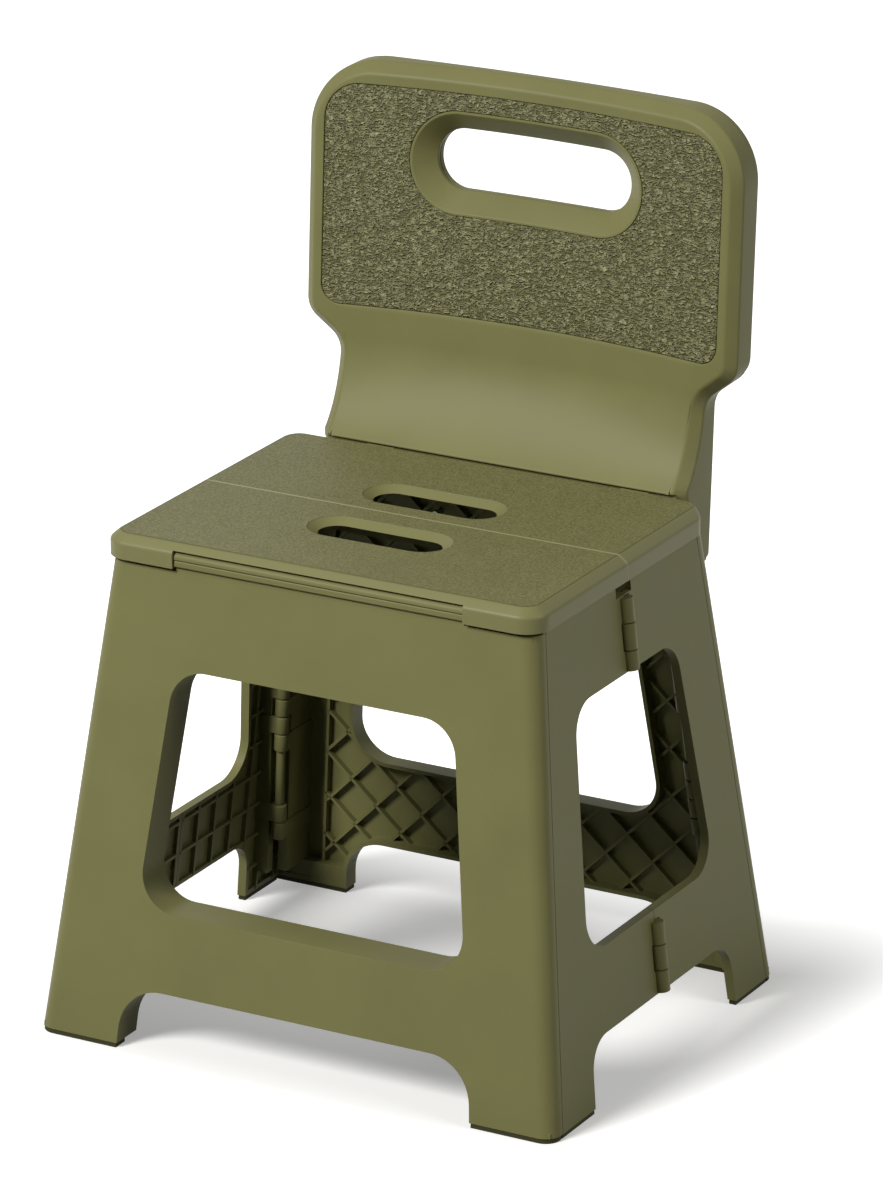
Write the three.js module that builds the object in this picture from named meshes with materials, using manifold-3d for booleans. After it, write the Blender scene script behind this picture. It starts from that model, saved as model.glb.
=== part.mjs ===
// Folding step stool chair in moulded plastic: four splayed panels, a two part seat and a backrest.
// Lengths are in millimetres, X runs across the seat, +Y to the back, +Z up, and the floor is at z = 0.
import * as THREE from 'three';
import { mergeVertices } from 'three/addons/utils/BufferGeometryUtils.js';
import Module from 'manifold-3d';

const wasm = await Module();
wasm.setup();

// Splayed body
const baseHalfWidth = 168.7;
const baseHalfDepth = 139.5;
const topHalfWidth = 136.8;
const topHalfDepth = 103.5;
const panelTop = 283.2;
const cornerRadius = 10;
const wall = 3;
const soleHeight = 3;
const soleThickness = 2.6;
const soleDepth = 11.4;
const cornerReturn = 12;
const runningGap = 0.4;
const seatGap = 0.3;
const cutOverrun = 2;

// Windows and floor arches of the front and back panels
const windowTop = 227.6;
const windowBottom = 85;
const windowTopHalf = 89.8;
const windowBottomHalf = 106.6;
const windowRadius = 22;
const windowFlangeDepth = 24;
const flangeWall = 2.6;
const archTop = 38;
const archTopHalf = 112.5;
const archFootHalf = 115.5;
const archRadius = 27;
const archFlangeDepth = 22;
const rimDepth = 9;

// Windows and floor arches of the folding sides
const sideWindowTop = 232.5;
const sideWindowBottom = 90;
const sideWindowTopHalf = 67;
const sideWindowBottomHalf = 80;
const sideWindowRadius = 20;
const sideArchTop = 41;
const sideArchTopHalf = 84.5;
const sideArchFootHalf = 88;
const sideArchRadius = 19;
const sideFlangeDepth = 8.4;

// Diagonal stiffening ribs
const ribPitch = 48;
const ribWall = 1.8;
const ribDepth = 11.2;
const sideRibDepth = 8;
const ribRoot = 0.8;

// Corner hinges between the end panels and the sides
const cornerPivotBehind = 27;
const cornerPivotInside = 14;
const cornerKnuckleRadius = 5;
const cornerPinRadius = 2;
const cornerPinClearance = 0.6;
const cornerHingeLow = 44;
const cornerHingeHigh = 224;
const cornerKnuckleCount = 5;
const knuckleGap = 0.6;
const knuckleWeb = 6;
const pinSlotWidth = 5;
const pinSlotShare = 0.6;

// Middle hinges of the folding sides
const middlePivotProud = 0.5;
const middleKnuckleRadius = 4.8;
const middleKnuckleClearance = 0.5;
const middlePinRadius = 1.5;
const middlePinClearance = 0.35;
const middleUpperEdges = [232.8, 245, 261, 276];
const middleLowerEdges = [41.4, 55, 70, 84];
const notchHalf = 9;
const notchDepth = 6.4;
const notchBottom = panelTop - notchDepth;

// Seat
const seatTop = 300;
const seatHalfWidth = 140;
const seatFront = 107;
const seatBack = 101;
const seatCornerRadius = 15;
const seatChamferAcross = 5.5;
const seatChamferDown = 4.5;
const seatPlate = 3.8;
const seatSkirtBottom = 284.8;
const seatWall = 2.8;
const seatRibWall = 1.8;
const seatRibBottom = 287.2;
const seatRibPitchX = 56;
const seatRibPitchY = 26;
const slotPlace = 32;
const slotLength = 84;
const slotWidth = 16;
const slotDishLength = 91;
const slotDishWidth = 24;
const slotDishDepth = 1.8;
const slotWall = 2.4;

// Seat end hinges
const endPivotDrop = 8.5;
const endPivotHeight = seatTop - endPivotDrop;
const frontPivotY = 102.5;
const backPivotY = 98;
const endKnuckleRadius = 4.2;
const endPinRadius = 2;
const endPinClearance = 0.35;
const endPinLength = 58;
const lugInner = 93;
const lugBottom = 285.6;
const frontRailHalf = 92.4;
const frontRailTop = 285.4;
const railWeb = 4;
const lugSlack = 9.8;
const tabWidth = 18;
const tabLeft = -76.5;
const tabRight = 90.8;
const tabDrop = 0.6;
const tabTop = seatTop - tabDrop;
const outerKnuckle = 13;
const tabGap = 0.7;

// Seat centre hinge
const centrePivotDrop = 12;
const centreFrontRadius = 5.9;
const centreBackRadius = 4.8;
const centrePinRadius = 2;
const centreFreePlay = 2;
const centrePinClearance = 0.35;
const centreKnuckleInner = 62;
const centreKnuckleLength = 16;
const centreKnuckleCount = 3;
const centreWeb = 8;

// Backrest
const backTop = 519;
const backHalfWidth = 141.5;
const backTopRadius = 42;
const wideBottom = 367.4;
const neckTop = 349.5;
const neckHalf = 120;
const neckRadius = 17;
const shoulderRadius = 16;
const mountDepth = 33.2;
const mountBottom = panelTop - mountDepth;
const lipRise = 0.5;
const lipHeight = seatTop + lipRise;
const lipY = 105.2;
const padPlaneY = 126.1;
const padPlaneHeight = 372.8;
const backLean = 0.0503;
const rearLean = 0.06;
const coveTop = 352;
const backBow = 9.4;
const backCrown = 2.2;
const bowStation = 47;
const splitTolerance = 0.05;
const backBevel = 6;
const backThickness = 28.5;
const rearShellDepth = 7;
const rearShellBevel = 3;
const rearShellInset = 0.8;
const backWall = 3;
const padHalf = 129.9;
const padBottom = 372.8;
const padTop = 506;
const padTopRadius = 22;
const padBottomRadius = 12;
const padThickness = 1.8;
const padPocket = 2.1;
const handleHeight = 464.2;
const handleLength = 127.4;
const handleOpening = 36.8;
const handleDishLength = 150;
const handleDishOpening = 60.2;
const handleDishDepth = 10.6;
const handleDishRim = 0.8;

// Screws
const screwRadius = 2;
const screwHeadRadius = 3.8;
const screwHeadHeight = 2.2;
const screwClearance = 0.4;
const bossRadius = 5;
const shellScrewLength = 14;
const mountScrewLength = 10;
const shellScrewHigh = 496;
const shellScrewMid = 400;
const shellScrewLow = 318;
const shellScrewOut = 112;
const shellScrewIn = 100;
const mountScrewDrop = 17.2;
const mountScrewHeight = panelTop - mountScrewDrop;
const mountScrewOut = 96;
const mountScrewIn = 36;

// Facets
const arcSteps = 4;
const smallArcSteps = 3;
const hiddenArcSteps = 2;
const knuckleSides = 10;
const cornerSides = 8;
const pinSides = 8;

// Materials
const plastic = new THREE.MeshStandardMaterial({ color: 0x77754f, roughness: 0.55, metalness: 0 });
const insidePlastic = new THREE.MeshStandardMaterial({ color: 0x77754f, roughness: 0.6, metalness: 0 });
const padPlastic = new THREE.MeshStandardMaterial({ color: 0x6d6a44, roughness: 0.75, metalness: 0 });
const rubber = new THREE.MeshStandardMaterial({ color: 0x2b2a22, roughness: 0.85, metalness: 0 });
const steel = new THREE.MeshStandardMaterial({ color: 0xa9abad, roughness: 0.35, metalness: 0.9 });

// Derived places
const depthSlope = (baseHalfDepth - topHalfDepth) / panelTop;
const widthSlope = (baseHalfWidth - topHalfWidth) / panelTop;
const halfDepthAt = (z) => baseHalfDepth - depthSlope * z;
const halfWidthAt = (z) => baseHalfWidth - widthSlope * z;
const apexHeight = baseHalfDepth / depthSlope;
const apexX = halfWidthAt(apexHeight);
const seatUnder = seatTop - seatPlate;
const centrePivotHeight = endPivotHeight - centrePivotDrop;
const backFaceAt = (z) => padPlaneY + backLean * (z - padPlaneHeight);
const backRear = backFaceAt(backTop) + backThickness;
const rearFaceAt = (z) => backRear + rearLean * (z - backTop);
const partingAt = (z) => rearFaceAt(z) - rearShellDepth;
const originY = (backRear - baseHalfDepth) / 2;

// A closed geometry with shared corners as a solid that can be cut and joined
function solid(geometry) {
  const bare = geometry.index ? geometry.toNonIndexed() : geometry.clone();
  bare.deleteAttribute('normal');
  bare.deleteAttribute('uv');
  const merged = mergeVertices(bare);
  const mesh = new wasm.Mesh({
    numProp: 3,
    vertProperties: new Float32Array(merged.attributes.position.array),
    triVerts: new Uint32Array(merged.index.array),
  });
  return new wasm.Manifold(mesh);
}

function join(list) {
  return list.reduce((sum, item) => sum.add(item));
}

// The finished solid as a named mesh
function piece(name, body, material) {
  const mesh = body.getMesh();
  const geometry = new THREE.BufferGeometry();
  const points = new Float32Array((mesh.vertProperties.length / mesh.numProp) * 3);
  for (let i = 0; i < points.length / 3; i += 1) {
    for (let k = 0; k < 3; k += 1) points[i * 3 + k] = mesh.vertProperties[i * mesh.numProp + k];
  }
  geometry.setAttribute('position', new THREE.BufferAttribute(points, 3));
  geometry.setIndex(new THREE.BufferAttribute(new Uint32Array(mesh.triVerts), 1));
  geometry.computeVertexNormals();
  const node = new THREE.Mesh(geometry, material);
  node.name = name;
  return node;
}

// An outline whose corners [across, up, radius] are rounded by arcs of equal steps
function rounded(corners, steps = arcSteps) {
  const points = [];
  corners.forEach(([x, y, radius], i) => {
    const here = new THREE.Vector2(x, y);
    if (!radius) {
      points.push(here);
      return;
    }
    const before = new THREE.Vector2(...corners[(i + corners.length - 1) % corners.length].slice(0, 2));
    const after = new THREE.Vector2(...corners[(i + 1) % corners.length].slice(0, 2));
    const a = before.sub(here).normalize();
    const b = after.sub(here).normalize();
    const half = Math.acos(THREE.MathUtils.clamp(a.dot(b), -1, 1)) / 2;
    const centre = here.clone().add(a.clone().add(b).normalize().multiplyScalar(radius / Math.sin(half)));
    const start = here.clone().add(a.clone().multiplyScalar(radius / Math.tan(half))).sub(centre);
    const end = here.clone().add(b.clone().multiplyScalar(radius / Math.tan(half))).sub(centre);
    let turn = end.angle() - start.angle();
    if (turn > Math.PI) turn -= Math.PI * 2;
    if (turn < -Math.PI) turn += Math.PI * 2;
    for (let k = 0; k <= steps; k += 1) {
      points.push(start.clone().rotateAround(new THREE.Vector2(), (turn * k) / steps).add(centre));
    }
  });
  return points;
}

function extruded(points, length) {
  const shape = new THREE.Shape(points);
  return new THREE.ExtrudeGeometry(shape, { depth: length, bevelEnabled: false });
}

// Outline in X and Z, carried along Y
function alongY(points, from, to) {
  const geometry = extruded(points, to - from);
  geometry.rotateX(Math.PI / 2);
  geometry.translate(0, to, 0);
  return solid(geometry);
}

// Outline in Y and Z, carried along X
function alongX(points, from, to) {
  const geometry = extruded(points, to - from);
  geometry.rotateX(Math.PI / 2);
  geometry.rotateZ(Math.PI / 2);
  geometry.translate(from, 0, 0);
  return solid(geometry);
}

// Outline in X and Y, carried along Z
function alongZ(points, from, to) {
  const geometry = extruded(points, to - from);
  geometry.translate(0, 0, from);
  return solid(geometry);
}

function block(x0, x1, y0, y1, z0, z1) {
  const geometry = new THREE.BoxGeometry(x1 - x0, y1 - y0, z1 - z0);
  geometry.translate((x0 + x1) / 2, (y0 + y1) / 2, (z0 + z1) / 2);
  return solid(geometry);
}

// A round bar between two points
function bar(from, to, radius, sides) {
  const run = to.clone().sub(from);
  const geometry = new THREE.CylinderGeometry(radius, radius, run.length(), sides);
  const turn = new THREE.Quaternion().setFromUnitVectors(new THREE.Vector3(0, 1, 0), run.clone().normalize());
  geometry.applyQuaternion(turn);
  geometry.translate((from.x + to.x) / 2, (from.y + to.y) / 2, (from.z + to.z) / 2);
  return solid(geometry);
}

// The radius of a faceted hole whose flats clear a round pin
function holeRadius(pinRadius, clearance, sides = pinSides) {
  return (pinRadius + clearance) / Math.cos(Math.PI / sides);
}

// A tapering body between two rounded rectangles, one above the other
function tapered(inset, low, high, radius) {
  const ring = (z) => {
    const x = halfWidthAt(z) - inset;
    const y = halfDepthAt(z) - inset;
    return rounded([[-x, -y, radius], [x, -y, radius], [x, y, radius], [-x, y, radius]], smallArcSteps);
  };
  const bottom = ring(low);
  const top = ring(high);
  const count = bottom.length;
  const positions = [];
  bottom.forEach((p) => positions.push(p.x, p.y, low));
  top.forEach((p) => positions.push(p.x, p.y, high));
  positions.push(0, 0, low, 0, 0, high);
  const index = [];
  for (let i = 0; i < count; i += 1) {
    const next = (i + 1) % count;
    index.push(i, next, count + next, i, count + next, count + i);
    index.push(next, i, count * 2, count + i, count + next, count * 2 + 1);
  }
  const geometry = new THREE.BufferGeometry();
  geometry.setAttribute('position', new THREE.Float32BufferAttribute(positions, 3));
  geometry.setIndex(index);
  return solid(geometry);
}

// The zone between two depths behind the sloped face of an end panel, for end = -1 front or 1 back
function endZone(end, from, to, low, high, half) {
  const reach = (z, depth) => end * (halfDepthAt(z) - depth);
  const corners = [[low, from], [low, to], [high, to], [high, from]];
  const points = corners.map(([z, depth]) => new THREE.Vector2(reach(z, depth), z));
  return alongX(points, -half, half);
}

// The zone between two depths behind the sloped face of a side, for hand = -1 left or 1 right
function sideZone(hand, from, to, low, high, y0, y1) {
  const reach = (z, depth) => hand * (halfWidthAt(z) - depth);
  const corners = [[low, from], [low, to], [high, to], [high, from]];
  const points = corners.map(([z, depth]) => new THREE.Vector2(reach(z, depth), z));
  return alongY(points, y0, y1);
}

function openingOutline(topHalf, bottomHalf, top, bottom, radius, grow) {
  const lean = (bottomHalf - topHalf) / (top - bottom);
  const high = topHalf + grow - lean * grow;
  const low = bottomHalf + grow + lean * grow;
  const round = radius + grow;
  return rounded([
    [-low, bottom - grow, round],
    [low, bottom - grow, round],
    [high, top + grow, round],
    [-high, top + grow, round],
  ]);
}

function archOutline(topHalf, footHalf, top, radius, grow) {
  const lean = (footHalf - topHalf) / top;
  const foot = footHalf + grow + lean * cutOverrun;
  return rounded([
    [-foot, -cutOverrun, 0],
    [foot, -cutOverrun, 0],
    [topHalf + grow, top + grow, radius + grow],
    [-topHalf - grow, top + grow, radius + grow],
  ]);
}

const endWindow = (grow) =>
  openingOutline(windowTopHalf, windowBottomHalf, windowTop, windowBottom, windowRadius, grow);
const endArch = (grow) => archOutline(archTopHalf, archFootHalf, archTop, archRadius, grow);
const sideWindow = (grow) =>
  openingOutline(sideWindowTopHalf, sideWindowBottomHalf, sideWindowTop, sideWindowBottom, sideWindowRadius, grow);
const sideArch = (grow) => archOutline(sideArchTopHalf, sideArchFootHalf, sideArchTop, sideArchRadius, grow);

// Two crossing families of diagonal ribs as seen along Y or X, with one crossing on the middle line
function diagonalRibs(half, top, carry) {
  const step = ribPitch * Math.SQRT2;
  const run = half + top;
  const thick = (ribWall / 2) * Math.SQRT2;
  const bars = [];
  for (let place = -Math.ceil(run / step) * step; place <= run; place += step) {
    for (const lean of [-1, 1]) {
      const at = (z) => place + lean * z;
      const points = [
        new THREE.Vector2(at(0) - thick, 0),
        new THREE.Vector2(at(0) + thick, 0),
        new THREE.Vector2(at(top) + thick, top),
        new THREE.Vector2(at(top) - thick, top),
      ];
      if (Math.min(at(0), at(top)) > half || Math.max(at(0), at(top)) < -half) continue;
      bars.push(carry(points));
    }
  }
  return join(bars);
}

// Points on the two slanting hinge lines, which meet above the seat where the end faces would meet
function cornerPivot(z, hand, end) {
  const share = (apexHeight - z) / (apexHeight - panelTop);
  const x = apexX + (topHalfWidth - cornerPivotInside - apexX) * share;
  const y = (topHalfDepth - cornerPivotBehind) * share;
  return new THREE.Vector3(hand * x, end * y, z);
}

function middlePivot(z, hand) {
  const share = (apexHeight - z) / (apexHeight - panelTop);
  return new THREE.Vector3(hand * (apexX + (topHalfWidth + middlePivotProud - apexX) * share), 0, z);
}

const shellOuter = tapered(0, 0, panelTop, cornerRadius);
const shellInner = tapered(wall, -cutOverrun, panelTop + cutOverrun, cornerRadius - wall);
const shell = shellOuter.subtract(shellInner);

// Heights where the knuckles of a corner hinge meet
function cornerEdges() {
  const step = (cornerHingeHigh - cornerHingeLow) / cornerKnuckleCount;
  return Array.from({ length: cornerKnuckleCount + 1 }, (unused, i) => cornerHingeLow + step * i);
}

// Knuckle of a corner hinge with the web that ties it to its panel
function cornerKnuckle(low, high, hand, end, onPanel) {
  const a = cornerPivot(low, hand, end);
  const b = cornerPivot(high, hand, end);
  const barrel = bar(a, b, cornerKnuckleRadius, cornerSides);
  const root = wall - ribRoot;
  let web;
  if (onPanel) {
    const x = (a.x + b.x) / 2;
    const points = [
      new THREE.Vector2(a.y, low),
      new THREE.Vector2(end * (halfDepthAt(low) - root), low),
      new THREE.Vector2(end * (halfDepthAt(high) - root), high),
      new THREE.Vector2(b.y, high),
    ];
    web = alongX(points, x - knuckleWeb / 2, x + knuckleWeb / 2);
  } else {
    const y = (a.y + b.y) / 2;
    const points = [
      new THREE.Vector2(a.x, low),
      new THREE.Vector2(hand * (halfWidthAt(low) - root), low),
      new THREE.Vector2(hand * (halfWidthAt(high) - root), high),
      new THREE.Vector2(b.x, high),
    ];
    web = alongY(points, y - knuckleWeb / 2, y + knuckleWeb / 2);
  }
  return barrel.add(web);
}

function cornerKnuckles(hand, end, onPanel) {
  const edges = cornerEdges();
  const list = [];
  for (let i = 0; i < cornerKnuckleCount; i += 1) {
    if ((i % 2 === 0) !== onPanel) continue;
    list.push(cornerKnuckle(edges[i] + knuckleGap / 2, edges[i + 1] - knuckleGap / 2, hand, end, onPanel));
  }
  return join(list);
}

function cornerHole(hand, end, clearance) {
  const low = cornerPivot(cornerHingeLow - cutOverrun, hand, end);
  const high = cornerPivot(cornerHingeHigh + cutOverrun, hand, end);
  return bar(low, high, holeRadius(cornerPinRadius, clearance), pinSides);
}

// Opening in the middle knuckle of a corner hinge that shows the pin
function pinSlot(hand, end) {
  const edges = cornerEdges();
  const middle = (cornerKnuckleCount - 1) / 2;
  const centre = (edges[middle] + edges[middle + 1]) / 2;
  const half = ((edges[middle + 1] - edges[middle]) * pinSlotShare) / 2;
  const at = cornerPivot(centre, hand, end);
  const reach = cornerKnuckleRadius + cutOverrun;
  const inner = at.x - hand * reach;
  return block(
    Math.min(inner, at.x),
    Math.max(inner, at.x),
    at.y - pinSlotWidth / 2,
    at.y + pinSlotWidth / 2,
    centre - half,
    centre + half,
  );
}

// Front or back panel with its flanged window, floor arch, feet, ribs and corner knuckles
function endPanel(end) {
  const reach = baseHalfDepth + cutOverrun;
  const near = Math.min(0, end * reach);
  const far = Math.max(0, end * reach);
  const inside = tapered(wall - ribRoot, 0, panelTop, cornerRadius - wall);
  const core = (depth) => endZone(end, 0, depth, 0, panelTop, baseHalfWidth).intersect(inside);
  const skin = shell.intersect(endZone(end, -cutOverrun, cornerReturn, 0, panelTop, baseHalfWidth));
  const windowRim = alongY(endWindow(flangeWall), near, far).intersect(core(windowFlangeDepth));
  const archRim = alongY(endArch(flangeWall), near, far).intersect(core(archFlangeDepth));
  const ribs = diagonalRibs(baseHalfWidth, panelTop, (points) => alongY(points, near, far))
    .intersect(core(ribDepth));
  const topRim = core(rimDepth).intersect(
    block(-seatHalfWidth, seatHalfWidth, near, far, panelTop - wall, panelTop),
  );
  const footFloor = core(soleDepth).intersect(
    block(-baseHalfWidth, baseHalfWidth, near, far, soleHeight, soleHeight + wall),
  );
  let body = join([skin, ribs, topRim, footFloor, windowRim, archRim]);
  body = body.subtract(alongY(endWindow(0), near, far));
  body = body.subtract(alongY(endArch(0), near, far));
  for (const hand of [-1, 1]) {
    body = body.add(cornerKnuckles(hand, end, true));
    body = body.subtract(cornerHole(hand, end, cornerPinClearance / 2)).subtract(pinSlot(hand, end));
  }
  return body.subtract(block(-reach * 2, reach * 2, near, far, -cutOverrun, soleHeight));
}

// Half of a folding side between the middle hinge and the corner seam
function sideHalf(hand, end) {
  const outer = baseHalfWidth + cutOverrun;
  const near = Math.min(0, hand * outer);
  const far = Math.max(0, hand * outer);
  const seam = (z) => end * (halfDepthAt(z) - cornerReturn - runningGap);
  const middleEdge = (end * runningGap) / 2;
  const zone = alongX(
    [
      new THREE.Vector2(middleEdge, 0),
      new THREE.Vector2(seam(0), 0),
      new THREE.Vector2(seam(panelTop), panelTop),
      new THREE.Vector2(middleEdge, panelTop),
    ],
    near,
    far,
  );
  const inside = tapered(wall - ribRoot, 0, panelTop, cornerRadius - wall);
  const y0 = -baseHalfDepth;
  const core = (depth) =>
    sideZone(hand, 0, depth, 0, panelTop, y0, -y0).intersect(inside).intersect(zone);
  const skin = shell.intersect(zone);
  const ribs = diagonalRibs(baseHalfDepth, panelTop, (points) => alongX(points, near, far))
    .intersect(core(sideRibDepth));
  const edge = Math.max(flangeWall, wall);
  const rims = join([
    alongX(sideWindow(flangeWall), near, far),
    alongX(sideArch(flangeWall), near, far),
    block(near, far, y0, -y0, panelTop - wall, panelTop),
    block(near, far, y0, -y0, soleHeight, soleHeight + wall),
    block(near, far, Math.min(middleEdge, end * edge), Math.max(middleEdge, end * edge), 0, panelTop),
    endZone(end, cornerReturn, cornerReturn + runningGap + edge, 0, panelTop, outer),
  ]).intersect(core(sideFlangeDepth));
  let body = join([skin, ribs, rims]);
  body = body.subtract(alongX(sideWindow(0), near, far));
  body = body.subtract(alongX(sideArch(0), near, far));
  body = body.subtract(block(near, far, y0, -y0, -cutOverrun, soleHeight));
  body = body.subtract(block(near, far, -notchHalf, notchHalf, notchBottom, panelTop + cutOverrun));
  body = body.add(cornerKnuckles(hand, end, false));
  const loose = hand === 1 && end === -1 ? cornerPinClearance + seatGap : cornerPinClearance / 2;
  body = body.subtract(cornerHole(hand, end, loose));
  return middleKnuckles(body, hand, end);
}

// The middle hinge's knuckles stand proud of the outer face, front and back halves taking turns
function middleKnuckles(start, hand, end) {
  let body = start;
  const clear = middleKnuckleRadius + middleKnuckleClearance;
  for (const edges of [middleUpperEdges, middleLowerEdges]) {
    for (let i = 0; i < edges.length - 1; i += 1) {
      const mine = (i % 2 === 0) === (end === -1);
      if (mine) continue;
      const low = middlePivot(edges[i] - knuckleGap / 2, hand);
      const high = middlePivot(edges[i + 1] + knuckleGap / 2, hand);
      body = body.subtract(bar(low, high, clear, knuckleSides));
    }
    for (let i = 0; i < edges.length - 1; i += 1) {
      const mine = (i % 2 === 0) === (end === -1);
      if (!mine) continue;
      const low = middlePivot(edges[i] + knuckleGap / 2, hand);
      const high = middlePivot(edges[i + 1] - knuckleGap / 2, hand);
      body = body.add(bar(low, high, middleKnuckleRadius, knuckleSides));
    }
    const foot = middlePivot(edges[0] - cutOverrun, hand);
    const head = middlePivot(edges[edges.length - 1] + cutOverrun, hand);
    body = body.subtract(bar(foot, head, holeRadius(middlePinRadius, middlePinClearance), pinSides));
  }
  return body;
}

// Hinge rail on top of the front panel, with room at its ends for the seat's lugs
function frontRail() {
  const pivot = (x) => new THREE.Vector3(x, -frontPivotY, endPivotHeight);
  const barrel = bar(pivot(-frontRailHalf), pivot(frontRailHalf), endKnuckleRadius, knuckleSides);
  const post = block(
    -frontRailHalf,
    frontRailHalf,
    -topHalfDepth + seatGap,
    -topHalfDepth + seatGap + railWeb,
    panelTop - wall,
    endPivotHeight,
  );
  const rise = block(
    -frontRailHalf,
    frontRailHalf,
    -topHalfDepth - seatGap,
    -topHalfDepth + wall,
    panelTop - ribRoot,
    frontRailTop,
  );
  const bore = (side) =>
    bar(
      pivot(side * (frontRailHalf + cutOverrun)),
      pivot(side * (lugInner - endPinLength / 2)),
      holeRadius(endPinRadius, endPinClearance),
      pinSides,
    );
  return barrel.add(post).add(rise).subtract(bore(-1)).subtract(bore(1));
}

const tabPlaces = [tabLeft, tabRight];

// Barrels of the back panel's seat hinge, between and beside the seat's two tabs
function backRail() {
  const pivot = (x) => new THREE.Vector3(x, backPivotY, endPivotHeight);
  const gap = tabWidth / 2 + tabGap;
  const spans = [
    [tabLeft - gap - outerKnuckle, tabLeft - gap],
    [tabLeft + gap, tabRight - gap],
    [tabRight + gap, tabRight + gap + outerKnuckle],
  ];
  const parts = spans.map(([from, to]) => {
    const barrel = bar(pivot(from), pivot(to), endKnuckleRadius, knuckleSides);
    const web = alongX(
      [
        new THREE.Vector2(backPivotY, endPivotHeight - endKnuckleRadius / 2),
        new THREE.Vector2(topHalfDepth - railWeb, panelTop - wall),
        new THREE.Vector2(topHalfDepth - seatGap, panelTop - wall),
        new THREE.Vector2(topHalfDepth - seatGap, panelTop),
        new THREE.Vector2(backPivotY + endKnuckleRadius * Math.SQRT1_2, endPivotHeight),
      ],
      from,
      to,
    );
    return barrel.add(web);
  });
  let rail = join(parts);
  for (const place of tabPlaces) {
    const half = endPinLength / 2;
    rail = rail.subtract(
      bar(pivot(place - half), pivot(place + half), holeRadius(endPinRadius, endPinClearance), pinSides),
    );
  }
  return rail;
}

// Both seat halves as one block: chamfered top, skirt, ribs and finger slots
function seatBlock() {
  const x = seatHalfWidth - seatChamferAcross;
  const y0 = -seatFront + seatChamferAcross;
  const y1 = seatBack - seatChamferAcross;
  const r = seatCornerRadius - seatChamferAcross;
  const outline = rounded([[-x, y0, r], [x, y0, r], [x, y1, r], [-x, y1, r]]);
  const geometry = new THREE.ExtrudeGeometry(new THREE.Shape(outline), {
    depth: seatTop - seatSkirtBottom,
    bevelEnabled: true,
    bevelThickness: seatChamferDown,
    bevelSize: seatChamferAcross,
    bevelSegments: 1,
  });
  geometry.translate(0, 0, seatSkirtBottom - seatChamferDown);
  const under = seatSkirtBottom - seatChamferDown * 2 - cutOverrun;
  return solid(geometry).subtract(
    block(-seatHalfWidth * 2, seatHalfWidth * 2, -seatFront * 2, seatBack * 2, under, seatSkirtBottom),
  );
}

function slotOutline(length, width, y) {
  const x = length / 2;
  const h = width / 2;
  const r = h - runningGap / 2;
  return rounded([[-x, y - h, r], [x, y - h, r], [x, y + h, r], [-x, y + h, r]]);
}

// Seat half with skirt, crossing ribs and a finger slot, for end = -1 front or 1 back
function seatHalf(end) {
  const edge = end === -1 ? seatFront : seatBack;
  const pivotY = end === -1 ? frontPivotY : backPivotY;
  const clearY = pivotY - endKnuckleRadius - runningGap;
  const near = Math.min((end * runningGap) / 2, end * (edge + cutOverrun));
  const far = Math.max((end * runningGap) / 2, end * (edge + cutOverrun));
  const wide = seatHalfWidth + cutOverrun;
  const whole = seatBlock().intersect(block(-wide, wide, near, far, 0, seatTop + cutOverrun));
  const inner = seatHalfWidth - seatWall;
  const y0 = end * (runningGap / 2 + seatWall);
  const y1 = end * (clearY - seatWall);
  const low = Math.min(y0, y1);
  const high = Math.max(y0, y1);
  let body = whole.subtract(block(-inner, inner, low, high, 0, seatUnder));
  const ribs = [];
  for (let x = -Math.floor(inner / seatRibPitchX) * seatRibPitchX; x < inner; x += seatRibPitchX) {
    const half = seatRibWall / 2;
    ribs.push(block(x - half, x + half, low - ribRoot, high + ribRoot, seatRibBottom, seatUnder + ribRoot));
  }
  for (let y = slotPlace + seatRibPitchY; y < clearY - seatWall; y += seatRibPitchY) {
    const front = end * y - seatRibWall / 2;
    const reach = inner + ribRoot;
    ribs.push(block(-reach, reach, front, front + seatRibWall, seatRibBottom, seatUnder + ribRoot));
  }
  body = join([body, ...ribs]);
  const slotY = end * slotPlace;
  const above = seatTop + cutOverrun;
  const sleeve = alongZ(
    slotOutline(slotLength + slotWall * 2, slotWidth + slotWall * 2, slotY),
    seatSkirtBottom,
    seatUnder + ribRoot,
  );
  const hole = alongZ(slotOutline(slotLength, slotWidth, slotY), 0, above);
  const dish = alongZ(slotOutline(slotDishLength, slotDishWidth, slotY), seatTop - slotDishDepth, above);
  body = body.add(sleeve).subtract(hole).subtract(dish);
  body = end === -1 ? frontLugs(body) : backTabs(body);
  return centreKnuckles(body, end);
}

// The front seat half keeps solid lugs at its corners and is open over the panel's rail
function frontLugs(start) {
  const clearY = frontPivotY - endKnuckleRadius - runningGap;
  const rail = block(-lugInner, lugInner, -seatFront - cutOverrun, -clearY, 0, seatUnder);
  const pocket = [];
  for (const hand of [-1, 1]) {
    const inner = hand * lugInner;
    const outer = hand * (seatHalfWidth + cutOverrun);
    pocket.push(
      block(Math.min(inner, outer), Math.max(inner, outer), -seatFront - cutOverrun, -clearY, 0, lugBottom),
    );
  }
  let body = start.subtract(rail).subtract(pocket[0]).subtract(pocket[1]);
  for (const hand of [-1, 1]) {
    const from = new THREE.Vector3(hand * (lugInner - cutOverrun), -frontPivotY, endPivotHeight);
    const to = new THREE.Vector3(hand * (lugInner + endPinLength / 2), -frontPivotY, endPivotHeight);
    body = body.subtract(bar(from, to, holeRadius(endPinRadius, endPinClearance), pinSides));
  }
  return body;
}

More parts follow.
